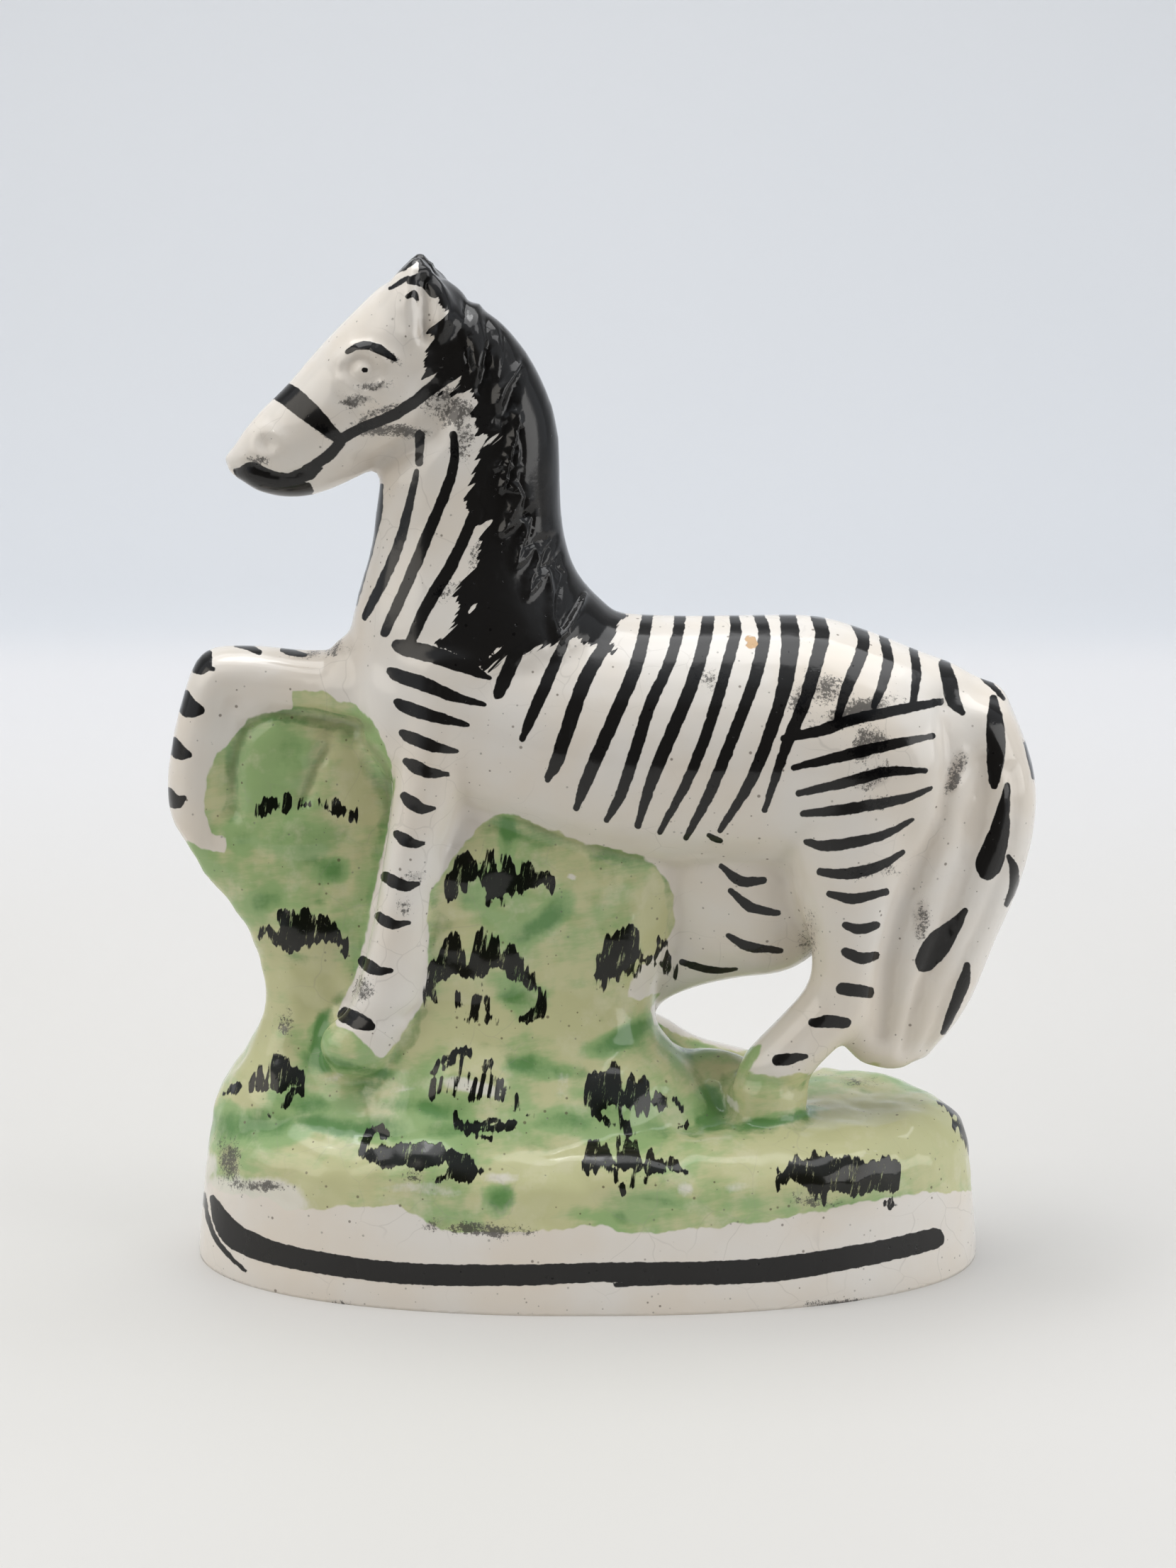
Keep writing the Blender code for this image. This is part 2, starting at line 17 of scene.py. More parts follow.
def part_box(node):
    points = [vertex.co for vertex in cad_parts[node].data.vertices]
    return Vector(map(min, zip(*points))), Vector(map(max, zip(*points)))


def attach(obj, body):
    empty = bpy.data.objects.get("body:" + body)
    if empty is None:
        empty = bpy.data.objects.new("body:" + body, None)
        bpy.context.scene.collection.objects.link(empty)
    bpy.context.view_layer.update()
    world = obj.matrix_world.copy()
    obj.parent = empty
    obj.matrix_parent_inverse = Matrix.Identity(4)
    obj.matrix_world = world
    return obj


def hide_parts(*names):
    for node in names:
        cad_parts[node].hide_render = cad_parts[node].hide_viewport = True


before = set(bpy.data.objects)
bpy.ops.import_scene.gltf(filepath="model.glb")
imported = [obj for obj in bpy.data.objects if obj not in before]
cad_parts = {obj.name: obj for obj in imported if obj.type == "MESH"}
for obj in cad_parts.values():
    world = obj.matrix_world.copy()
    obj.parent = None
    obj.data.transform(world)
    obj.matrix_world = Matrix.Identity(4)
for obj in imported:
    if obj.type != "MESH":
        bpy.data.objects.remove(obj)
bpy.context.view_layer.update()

# The picture and its camera: metres, degrees, and pixels of the 1659 x 2212 picture
PICTURE_MIDDLE = (829.5, 1106.0)
PICTURE_HEIGHT = 2212.0
FOCAL_PIXELS = 4650.0
CAMERA_PLACE = (0.0, -0.42, 0.165)
CAMERA_DIP = 13.5
SENSOR = 36.0
NEAREST_SEEN = 0.01

# Driving sizes of the plinth and of the ground on it, in metres
PLINTH_LENGTH = 0.105
PLINTH_DEPTH = 0.050
PLINTH_HEIGHT = 0.012
PLINTH_FLARE = 0.0010
OVAL_POWER = 2.25
MOUND_RISE = 0.009
MOUND_SETBACK = 0.0004
MOUND_ROUNDING = 0.0070
MOUND_ROUNDING_LIMIT = 0.8
PLINTH_EDGE_LEVELS = (0.1, 0.9)

# The zebra: its height from the ground it stands on to its ear tips, and how far it is across
ZEBRA_HEIGHT = 0.112
BARREL_THICKNESS = 0.029

# How the clay is worked
CLAY_GRAIN = 0.0008
SOFTENING_PASSES = 6
RING_SIDES = 28
RINGS_PER_SPAN = 4
DOME_LEANS = (40.0, 70.0)
DOME_REACH = 0.8
OVAL_POINTS = 96
ROUNDING_STEPS = 8
SOFTENING = 0.5
SKIRT_BELOW_TABLE = 0.003

# The figure's own tables are in shares of its height, at SHARES to the whole, from the ground up
SHARES = 112.0
BARREL_SHARES = 29.0
UNIT = ZEBRA_HEIGHT / SHARES
ACROSS = BARREL_THICKNESS / BARREL_SHARES
GROUND = PLINTH_HEIGHT + MOUND_RISE

# A limb is a row of oval sections. Each has its front or upper edge (x, z) and its back or lower
# edge (x, z), then how far its middle is off centre and half its thickness.
TORSO = [
    (-30.0, 62.5, -30.0, 52.0, 0.0, 6.0),
    (-26.5, 65.5, -27.0, 45.5, 0.0, 10.0),
    (-21.0, 67.0, -21.5, 41.0, 0.0, 12.5),
    (-13.5, 68.0, -14.0, 38.0, 0.0, 14.0),
    (-6.5, 67.5, -6.5, 35.5, 0.0, 14.5),
    (2.0, 66.0, 2.0, 33.5, 0.0, 14.5),
    (11.0, 65.5, 11.0, 32.5, 0.0, 14.5),
    (20.0, 65.5, 20.5, 32.0, 0.0, 14.5),
    (29.5, 65.4, 30.0, 31.5, 0.0, 15.0),
    (37.0, 63.3, 37.5, 31.0, 0.0, 15.0),
    (43.0, 60.9, 43.5, 33.0, 0.0, 13.5),
    (47.5, 59.2, 48.0, 36.0, 0.0, 11.0),
    (50.0, 57.7, 50.5, 38.5, 0.0, 7.5),
]
NECK = [
    (-32.0, 57.0, 4.0, 65.5, 0.0, 13.0),
    (-30.0, 67.5, -1.0, 70.5, 0.0, 11.0),
    (-28.0, 74.5, -3.5, 76.5, 0.0, 9.2),
    (-27.0, 81.0, -4.5, 83.0, 0.0, 8.2),
    (-26.0, 86.5, -5.0, 90.5, 0.0, 7.6),
    (-24.0, 90.5, -7.5, 97.0, 0.0, 7.2),
    (-22.5, 95.5, -11.5, 102.3, 0.0, 6.6),
    (-21.5, 99.0, -15.0, 104.5, 0.0, 6.0),
]
HEAD = [
    (-22.0, 109.0, -15.5, 96.5, 0.0, 6.3),
    (-25.5, 108.5, -17.0, 93.5, 0.0, 7.5),
    (-30.0, 104.5, -21.5, 89.0, 0.0, 7.8),
    (-34.0, 100.5, -27.0, 85.0, 0.0, 7.0),
    (-38.5, 95.5, -33.0, 82.0, 0.0, 5.8),
    (-42.0, 92.0, -37.5, 81.0, 0.0, 5.2),
    (-44.5, 88.9, -41.8, 81.7, 0.0, 4.6),
    (-45.3, 87.3, -44.4, 83.3, 0.0, 3.2),
]
EAR = [
    (-27.0, 105.0, -14.5, 103.5, 3.0, 4.2),
    (-25.5, 108.0, -16.5, 106.5, 3.0, 3.6),
    (-24.0, 110.0, -18.5, 109.0, 3.0, 2.6),
    (-22.5, 111.3, -20.0, 110.8, 3.0, 1.6),
]
STANDING_FORELEG = [
    (-27.0, 62.0, -5.0, 62.0, -3.5, 10.0),
    (-25.5, 54.5, -10.0, 54.5, -5.5, 8.5),
    (-25.0, 47.0, -14.5, 47.0, -7.0, 6.8),
    (-25.5, 41.0, -17.0, 41.0, -8.0, 5.5),
    (-26.5, 35.0, -19.0, 35.0, -8.5, 4.8),
    (-27.5, 29.0, -20.0, 29.0, -9.0, 4.4),
    (-29.0, 22.0, -21.0, 22.0, -9.0, 4.5),
    (-30.5, 17.0, -21.5, 17.0, -9.0, 4.7),
    (-32.0, 13.0, -23.0, 13.0, -9.0, 4.5),
    (-31.0, 9.0, -25.0, 9.0, -9.0, 4.0),
]
RAISED_FORELEG = [
    (-28.5, 61.0, -28.5, 51.5, 0.0, 7.0),
    (-37.0, 60.5, -37.0, 52.5, 2.0, 5.8),
    (-44.5, 61.0, -44.0, 53.0, 3.0, 5.2),
    (-50.5, 60.0, -46.0, 53.0, 3.0, 5.0),
    (-53.5, 53.0, -46.0, 50.0, 3.0, 5.0),
    (-55.0, 47.0, -46.5, 46.0, 3.0, 5.0),
    (-55.5, 42.0, -47.0, 42.0, 3.0, 5.0),
    (-55.0, 38.0, -47.5, 37.5, 3.0, 5.0),
    (-53.5, 35.5, -48.5, 34.5, 3.0, 4.8),
]
FORWARD_HIND_LEG = [
    (4.0, 44.0, 38.0, 37.0, 1.5, 9.5),
    (6.0, 36.0, 34.0, 24.5, 1.5, 9.0),
    (7.5, 29.0, 28.0, 18.0, 2.0, 7.8),
    (8.0, 24.0, 20.5, 16.5, 2.5, 6.5),
    (7.0, 19.0, 15.0, 15.0, 3.5, 5.5),
    (5.0, 14.5, 10.5, 12.5, 5.0, 4.8),
    (3.0, 10.0, 8.0, 8.5, 6.5, 4.5),
    (0.5, 5.0, 7.0, 4.5, 7.0, 4.3),
    (-1.0, 0.0, 7.5, 0.0, 7.0, 4.6),
    (-1.0, -3.0, 7.5, -3.0, 7.0, 4.6),
]
BACK_HIND_LEG = [
    (23.0, 50.0, 45.0, 50.0, -5.5, 9.5),
    (25.0, 39.0, 43.0, 38.0, -7.0, 8.0),
    (27.0, 30.5, 41.0, 30.5, -8.0, 6.3),
    (29.0, 23.0, 39.0, 23.0, -8.0, 5.2),
    (28.5, 18.0, 37.5, 15.0, -8.0, 4.7),
    (25.0, 13.5, 32.0, 9.0, -8.0, 4.4),
    (20.5, 8.5, 29.5, 6.0, -8.0, 4.4),
    (19.0, 4.5, 29.0, 3.0, -8.0, 4.6),
    (18.5, 0.5, 28.5, 0.5, -8.0, 5.0),
    (18.5, -3.0, 28.5, -3.0, -8.0, 5.0),
]
TAIL = [
    (43.5, 55.5, 51.0, 56.0, 0.0, 7.0),
    (44.5, 53.5, 54.2, 54.5, -0.3, 8.2),
    (45.0, 50.0, 56.5, 50.5, -0.5, 8.7),
    (46.0, 44.5, 58.4, 44.0, -1.0, 9.0),
    (45.0, 38.0, 58.0, 37.0, -1.5, 9.2),
    (42.5, 32.0, 56.2, 30.0, -2.0, 9.0),
    (40.5, 25.0, 53.5, 23.0, -2.0, 8.5),
    (38.5, 18.0, 51.0, 16.0, -2.0, 7.8),
    (37.0, 13.0, 48.5, 11.5, -2.0, 7.0),
    (38.0, 10.0, 46.5, 9.0, -2.0, 5.5),
]
RUMP_WEB = [
    (36.0, 46.0, 50.0, 46.0, -2.0, 11.0),
    (34.5, 36.0, 49.0, 36.0, -3.0, 9.5),
    (34.0, 27.0, 47.0, 27.0, -3.5, 8.2),
    (33.0, 19.0, 45.0, 19.0, -4.0, 7.0),
    (31.5, 12.5, 43.0, 12.0, -4.0, 6.0),
    (33.5, 9.0, 43.0, 8.5, -3.5, 5.5),
]
LEAVES_UNDER_FORELEG = [
    (-50.0, -3.0, -20.0, -3.0, 1.0, 15.0),
    (-49.5, 0.5, -20.0, 0.5, 1.0, 13.5),
    (-47.5, 4.0, -20.0, 4.0, 1.0, 11.0),
    (-44.5, 9.0, -20.0, 9.0, 0.5, 8.5),
    (-43.0, 14.0, -20.0, 14.0, 0.5, 7.5),
    (-44.0, 21.0, -20.0, 21.0, 0.5, 6.5),
    (-46.5, 26.0, -20.0, 26.0, 0.5, 6.0),
    (-50.5, 31.0, -20.0, 31.0, 1.0, 5.5),
    (-53.0, 36.0, -20.0, 36.0, 1.5, 5.0),
    (-53.5, 45.0, -20.0, 45.0, 2.0, 4.8),
    (-50.5, 56.0, -20.0, 56.0, 2.0, 4.8),
]
LEAVES_UNDER_BELLY = [
    (-31.0, -3.0, 21.0, -3.0, -2.0, 18.0),
    (-30.5, 1.0, 18.0, 1.0, -2.0, 16.0),
    (-30.0, 5.0, 14.5, 5.0, -1.5, 13.5),
    (-30.0, 10.0, 9.5, 10.0, -1.0, 11.5),
    (-29.5, 16.0, 9.0, 16.0, -0.5, 10.0),
    (-29.0, 23.0, 11.5, 23.0, -0.5, 9.5),
    (-28.0, 29.0, 12.0, 29.0, -0.5, 9.5),
    (-26.0, 35.0, 12.0, 34.5, -0.5, 9.2),
    (-25.0, 42.0, 8.0, 40.0, 0.0, 8.5),
]
BACK_BANK = [
    (2.0, 9.0, 2.0, -5.0, 10.0, 6.0),
    (9.0, 8.5, 9.0, -5.0, 11.0, 5.5),
    (15.0, 4.5, 15.0, -5.0, 12.0, 5.0),
    (22.0, 2.5, 22.0, -5.0, 12.0, 5.0),
    (30.0, 0.0, 30.0, -5.0, 11.0, 4.5),
]
# Eggs of clay: middle (x, y, z), then half sizes. The bank fills the corner between the leaves and
# the ledge under the belly.
HOOF_OF_FORELEG = (-31.0, -10.0, 10.5, 4.2, 3.8, 4.0)
CORNER_BANK = (16.0, 0.0, 0.0, 9.0, 8.0, 6.5)
EGG_SEGMENTS = 20
EGG_RINGS = 12

# Limbs with plain oval sections
LIMBS = [TORSO, NECK, HEAD, STANDING_FORELEG, RAISED_FORELEG, FORWARD_HIND_LEG, BACK_HIND_LEG]
# The others: sections, how boxy they are, and how much slimmer at the back or lower edge
WEBS_AND_BANKS = [
    (TAIL, 0.15, 0.0),
    (RUMP_WEB, 0.3, 0.0),
    (LEAVES_UNDER_FORELEG, 0.4, -0.35),
    (LEAVES_UNDER_BELLY, 0.3, 0.2),
    (BACK_BANK, 0.0, 0.0),
]

# Relief is worked into the finished form. Paths and middles are (x, z); widths and rises are in
# shares too, and a fall is a rise below nothing.
MANE_LOCKS = [
    (-14.5, 107.5),
    (-15.5, 102.5),
    (-14.0, 96.5),
    (-12.5, 102.0),
    (-11.5, 92.0),
    (-9.0, 98.0),
    (-11.0, 83.0),
    (-9.0, 90.5),
    (-11.0, 77.5),
    (-7.5, 80.5),
    (-9.5, 73.0),
    (-6.5, 76.5),
    (-7.5, 69.0),
    (-4.5, 73.5),
    (-3.5, 64.0),
    (0.5, 71.5),
    (6.0, 78.0),
    (6.0, 112.0),
    (-9.0, 114.0),
]
MANE_RISE = 1.1
MANE_EDGE = 0.4
# The mane's raised edge dies away towards its foot between these heights
MANE_FOOT = (70.0, 86.0)

EYE = (-28.0, 98.0)
NOSTRIL = (-40.5, 88.5)
BOTH_SIDES = (-1.0, 1.0)
NEAR_SIDE = (-1.0,)
FAR_SIDE = (1.0,)

# Relief fades out where the skin turns away from its side, and a spot fades from its middle outwards
FACING = (0.1, 0.5)
SPOT_FADE = (1.2, 0.3)

# Each line: the sides it is on, its half width, its rise, and its path
LINES = [
    (BOTH_SIDES, 1.0, 0.7, [
        (-22.0, 102.5), (-22.5, 106.0), (-21.5, 110.0), (-19.5, 110.0), (-18.0, 106.0),
        (-18.5, 102.5),
    ]),
    (BOTH_SIDES, 1.0, -1.0, [(-20.3, 109.0), (-20.2, 105.0), (-20.3, 102.5)]),
    (BOTH_SIDES, 0.9, 0.40, [(-31.0, 99.0), (-29.5, 100.7), (-27.0, 101.0), (-24.5, 99.3)]),
    (BOTH_SIDES, 0.9, 0.35, [(-31.0, 96.8), (-28.5, 95.2), (-25.5, 95.7)]),
    (BOTH_SIDES, 0.6, -0.5, [(-45.5, 84.5), (-43.0, 85.8), (-39.0, 84.3), (-36.0, 85.0)]),
    (BOTH_SIDES, 1.6, -0.7, [(-29.0, 86.0), (-24.0, 87.0), (-19.5, 89.5), (-17.0, 95.0)]),
    (NEAR_SIDE, 1.2, -0.9, [
        (-46.5, 40.0), (-46.3, 47.0), (-44.5, 51.0), (-41.0, 53.0), (-36.0, 52.5), (-30.0, 51.5),
    ]),
    (NEAR_SIDE, 1.0, -0.6, [(-33.5, 50.0), (-35.5, 46.0), (-37.0, 41.5)]),
    (NEAR_SIDE, 1.8, -1.3, [
        (46.0, 56.0), (46.5, 48.0), (45.5, 41.5), (43.0, 36.5), (40.5, 29.0), (39.0, 22.0),
        (38.5, 12.0),
    ]),
    (FAR_SIDE, 1.6, -0.9, [(46.0, 56.0), (46.5, 46.0), (43.0, 36.0), (40.0, 26.0), (38.5, 12.0)]),
    (BOTH_SIDES, 1.0, -0.5, [
        (50.5, 49.0), (51.0, 44.0), (50.0, 37.0), (46.5, 27.0), (43.0, 18.0), (41.5, 9.0),
    ]),
    (BOTH_SIDES, 1.0, -0.5, [
        (54.5, 47.0), (55.0, 42.0), (54.0, 36.0), (50.5, 26.5), (46.5, 17.0), (44.5, 9.0),
    ]),
    (BOTH_SIDES, 0.9, -0.45, [(18.0, 5.5), (23.0, 6.5), (28.0, 4.5)]),
    (NEAR_SIDE, 0.9, -0.4, [(-32.0, 15.5), (-27.0, 15.0), (-21.5, 15.5)]),
]
# Each swelling or dimple: the sides it is on, its middle, its half length and height, and its rise
SPOTS = [
    (BOTH_SIDES, EYE, 4.2, 3.4, 0.55),
    (BOTH_SIDES, EYE, 2.7, 2.3, -0.75),
    (BOTH_SIDES, EYE, 1.6, 1.5, 0.7),
    (BOTH_SIDES, NOSTRIL, 3.0, 2.8, 0.65),
    (BOTH_SIDES, NOSTRIL, 1.7, 1.6, -0.75),
    (BOTH_SIDES, (-24.5, 93.0), 4.0, 4.5, 0.6),
    (NEAR_SIDE, (-15.0, 7.0), 6.0, 4.0, 1.3),
    (NEAR_SIDE, (5.5, 5.5), 6.0, 4.0, 1.0),
    (NEAR_SIDE, (-22.0, -2.5), 7.0, 3.0, 0.9),
    (NEAR_SIDE, (6.0, -3.0), 6.5, 3.0, 0.9),
    (NEAR_SIDE, (32.0, -4.0), 8.0, 3.5, 1.0),
    (NEAR_SIDE, (-16.0, 34.0), 6.0, 3.5, 0.6),
    (NEAR_SIDE, (-16.0, 22.0), 7.0, 5.0, 0.8),
    (NEAR_SIDE, (5.0, 22.5), 3.5, 5.0, 0.7),
    (NEAR_SIDE, (-37.0, 24.5), 5.5, 3.5, 0.7),
    (NEAR_SIDE, (-42.0, 4.0), 5.5, 4.0, 0.9),
    (NEAR_SIDE, (-38.0, 37.0), 7.0, 3.0, 0.5),
]

# Brush marks in pixels of the picture. A stroke is a row of (x, y, width), and widths taper between.
NECK_STROKES = [
    [(538, 685, 3), (535, 720, 7), (522, 770, 10), (510, 810, 11), (500, 852, 7)],
    [(588, 665, 5), (580, 700, 9), (565, 760, 12), (545, 810, 13), (520, 860, 10), (514, 872, 5)],
    [(592, 613, 12), (592, 630, 11), (591, 653, 8)],
    [(640, 614, 9), (641, 650, 11), (630, 690, 13), (605, 750, 14), (580, 810, 14), (543, 892, 11)],
    [(668, 728, 14), (650, 770, 14), (635, 800, 15), (605, 850, 16), (584, 893, 13), (577, 908, 10)],
]
FORELEG_STROKES = [
    [(560, 910, 14), (572, 914, 20), (620, 926, 22), (660, 942, 17), (690, 956, 5)],
    [(551, 947, 10), (562, 953, 17), (600, 966, 18), (645, 984, 12), (683, 994, 4)],
    [(560, 990, 8), (572, 997, 16), (610, 1010, 15), (660, 1023, 4)],
    [(568, 1034, 8), (580, 1041, 15), (612, 1053, 14), (645, 1060, 4)],
    [(573, 1074, 8), (585, 1081, 16), (605, 1090, 14), (632, 1092, 4)],
    [(570, 1123, 9), (580, 1132, 17), (595, 1141, 13), (613, 1140, 3)],
    [(561, 1177, 10), (570, 1184, 15), (583, 1190, 11), (598, 1190, 3)],
    [(544, 1237, 13), (556, 1244, 15), (572, 1250, 13), (590, 1247, 4)],
    [(534, 1292, 10), (543, 1299, 14), (558, 1304, 10), (577, 1302, 3)],
    [(512, 1356, 13), (522, 1364, 16), (535, 1370, 11), (552, 1369, 4)],
    [(487, 1432, 20), (500, 1438, 21), (514, 1444, 18), (524, 1448, 9)],
]
FLANK_STROKES = [
    [(738, 898, 18), (722, 935, 18), (706, 972, 16), (702, 981, 9)],
    [(797, 903, 10), (783, 935, 14), (766, 975, 15), (748, 1015, 13), (737, 1042, 7)],
    [(852, 912, 16), (825, 960, 18), (800, 1030, 18), (785, 1075, 16), (772, 1099, 8)],
    [(915, 862, 13), (905, 910, 16), (895, 945, 17), (870, 1005, 17), (830, 1095, 16), (813, 1140, 7)],
    [(960, 866, 13), (955, 900, 14), (940, 945, 14), (915, 1000, 15), (880, 1110, 14), (856, 1157, 6)],
    [(1000, 864, 15), (995, 900, 16), (978, 960, 17), (945, 1040, 17), (920, 1100, 15), (900, 1165, 7)],
    [(1035, 866, 10), (1038, 890, 14), (1025, 940, 14), (1005, 1010, 14), (975, 1090, 13), (931, 1174, 6)],
    [(1068, 864, 12), (1078, 890, 15), (1072, 930, 16), (1055, 985, 15), (1005, 1110, 14), (968, 1182, 6)],
    [(1110, 864, 20), (1115, 900, 24), (1110, 950, 20), (1098, 1000, 17), (1060, 1100, 14), (1016, 1171, 6)],
    [(1150, 864, 14), (1160, 895, 18), (1150, 940, 17), (1135, 990, 16), (1110, 1050, 14), (1079, 1142, 6)],
    [(1205, 876, 12), (1218, 900, 15), (1212, 930, 15), (1195, 970, 14), (1179, 1021, 7)],
    [(1246, 898, 10), (1253, 930, 13), (1245, 965, 12), (1233, 996, 7)],
    [(1288, 915, 9), (1293, 950, 11), (1288, 992, 8)],
    [(1332, 937, 14), (1340, 965, 20), (1345, 988, 18), (1358, 1005, 6)],
    [(1000, 1178, 4), (1010, 1184, 7), (1016, 1186, 4)],
]
HIND_LEG_STROKES = [
    [(1106, 1042, 8), (1160, 1030, 14), (1200, 1016, 14), (1260, 1003, 13), (1326, 990, 8)],
    [(1120, 1083, 6), (1170, 1071, 12), (1250, 1052, 14), (1317, 1038, 5)],
    [(1127, 1119, 7), (1190, 1105, 13), (1250, 1089, 13), (1305, 1087, 6)],
    [(1132, 1148, 7), (1190, 1142, 14), (1270, 1128, 11), (1313, 1112, 4)],
    [(1138, 1188, 7), (1170, 1193, 14), (1240, 1180, 11), (1288, 1156, 4)],
    [(1157, 1230, 8), (1195, 1233, 14), (1240, 1222, 12), (1274, 1202, 5)],
    [(1170, 1261, 7), (1205, 1268, 13), (1250, 1258, 7)],
    [(1193, 1305, 8), (1213, 1311, 13), (1237, 1305, 8)],
    [(1193, 1343, 11), (1215, 1352, 15), (1236, 1348, 9)],
    [(1188, 1395, 15), (1207, 1397, 17), (1226, 1400, 14)],
    [(1146, 1443, 10), (1168, 1441, 16), (1194, 1443, 12)],
    [(1097, 1496, 14), (1113, 1494, 14), (1137, 1490, 5)],
    [(1017, 1222, 5), (1045, 1243, 13), (1078, 1242, 7)],
    [(1031, 1257, 6), (1060, 1280, 12), (1098, 1288, 6)],
    [(1027, 1320, 5), (1055, 1335, 12), (1102, 1341, 5)],
    [(962, 1357, 6), (990, 1366, 9), (1020, 1369, 6), (1038, 1367, 4)],
]
TAIL_STROKES = [
    [(1401, 985, 8), (1404, 1020, 22), (1405, 1060, 24), (1403, 1095, 16), (1402, 1108, 8)],
    [(1421, 1108, 6), (1416, 1140, 16), (1408, 1180, 28), (1396, 1215, 36), (1393, 1228, 26)],
    [(1362, 1284, 6), (1347, 1305, 18), (1325, 1330, 34), (1308, 1352, 30), (1302, 1362, 16)],
    [(1364, 1362, 7), (1360, 1385, 15), (1348, 1415, 14), (1331, 1456, 6)],
    [(1423, 1208, 5), (1430, 1225, 11), (1430, 1250, 10), (1420, 1276, 5)],
    [(1447, 1048, 4), (1454, 1070, 8), (1458, 1097, 4)],
    [(1386, 956, 4), (1400, 968, 6), (1416, 986, 3)],
    [(1343, 930, 3), (1366, 940, 4)],
]
RAISED_LEG_STROKES = [
    [(292, 923, 12), (286, 938, 22), (276, 945, 8)],
    [(288, 940, 8), (301, 944, 4)],
    [(261, 980, 12), (266, 998, 26), (284, 1002, 8)],
    [(246, 1046, 10), (252, 1060, 20), (267, 1065, 6)],
    [(238, 1117, 10), (247, 1131, 18), (259, 1127, 7)],
    [(331, 909, 4), (350, 913, 7), (366, 920, 5)],
    [(398, 917, 4), (415, 921, 7), (430, 924, 4)],
]
BRIDLE_STROKES = [
    [(393, 550, 27), (412, 561, 29), (440, 585, 26), (462, 605, 18), (478, 619, 12)],
    [(478, 621, 13), (510, 604, 12), (550, 588, 14), (580, 570, 14), (612, 545, 16), (640, 524, 20),
     (662, 508, 24)],
    [(480, 624, 13), (465, 641, 14), (440, 659, 13), (420, 671, 15), (395, 683, 16)],
    [(338, 664, 4), (352, 656, 6), (368, 662, 8), (390, 673, 12), (415, 680, 22)],
    [(395, 683, 18), (420, 686, 20), (438, 694, 5)],
    [(435, 684, 6), (439, 692, 5)],
    [(490, 497, 4), (503, 489, 8), (523, 488, 11), (543, 497, 9), (558, 507, 4)],
    [(513, 522, 4), (516, 522, 4)],
]
EAR_STROKES = [
    [(556, 385, 4), (570, 376, 8), (582, 368, 9)],
    [(562, 380, 5), (580, 364, 12), (604, 353, 16), (626, 368, 20)],
    [(550, 407, 3), (562, 400, 5), (575, 392, 4)],
    [(578, 396, 8), (592, 394, 16), (604, 396, 24), (612, 410, 18)],
    [(575, 418, 5), (584, 415, 8), (588, 422, 4)],
    [(600, 372, 12), (612, 388, 16), (622, 404, 18), (634, 420, 22)],
]
BAND_STROKES = [
    [(300, 1690, 6), (308, 1710, 18), (322, 1734, 30), (345, 1752, 33), (400, 1771, 30), (500, 1789, 28),
     (600, 1798, 28), (700, 1799, 28), (765, 1798, 27), (850, 1795, 25), (910, 1796, 29),
     (1000, 1796, 31), (1100, 1790, 32),
     (1200, 1774, 30), (1280, 1757, 29), (1318, 1747, 27)],
    [(868, 1813, 3), (900, 1810, 6), (940, 1808, 8)],
    [(287, 1684, 4), (293, 1715, 4), (303, 1745, 5), (322, 1770, 4), (346, 1793, 3)],
]
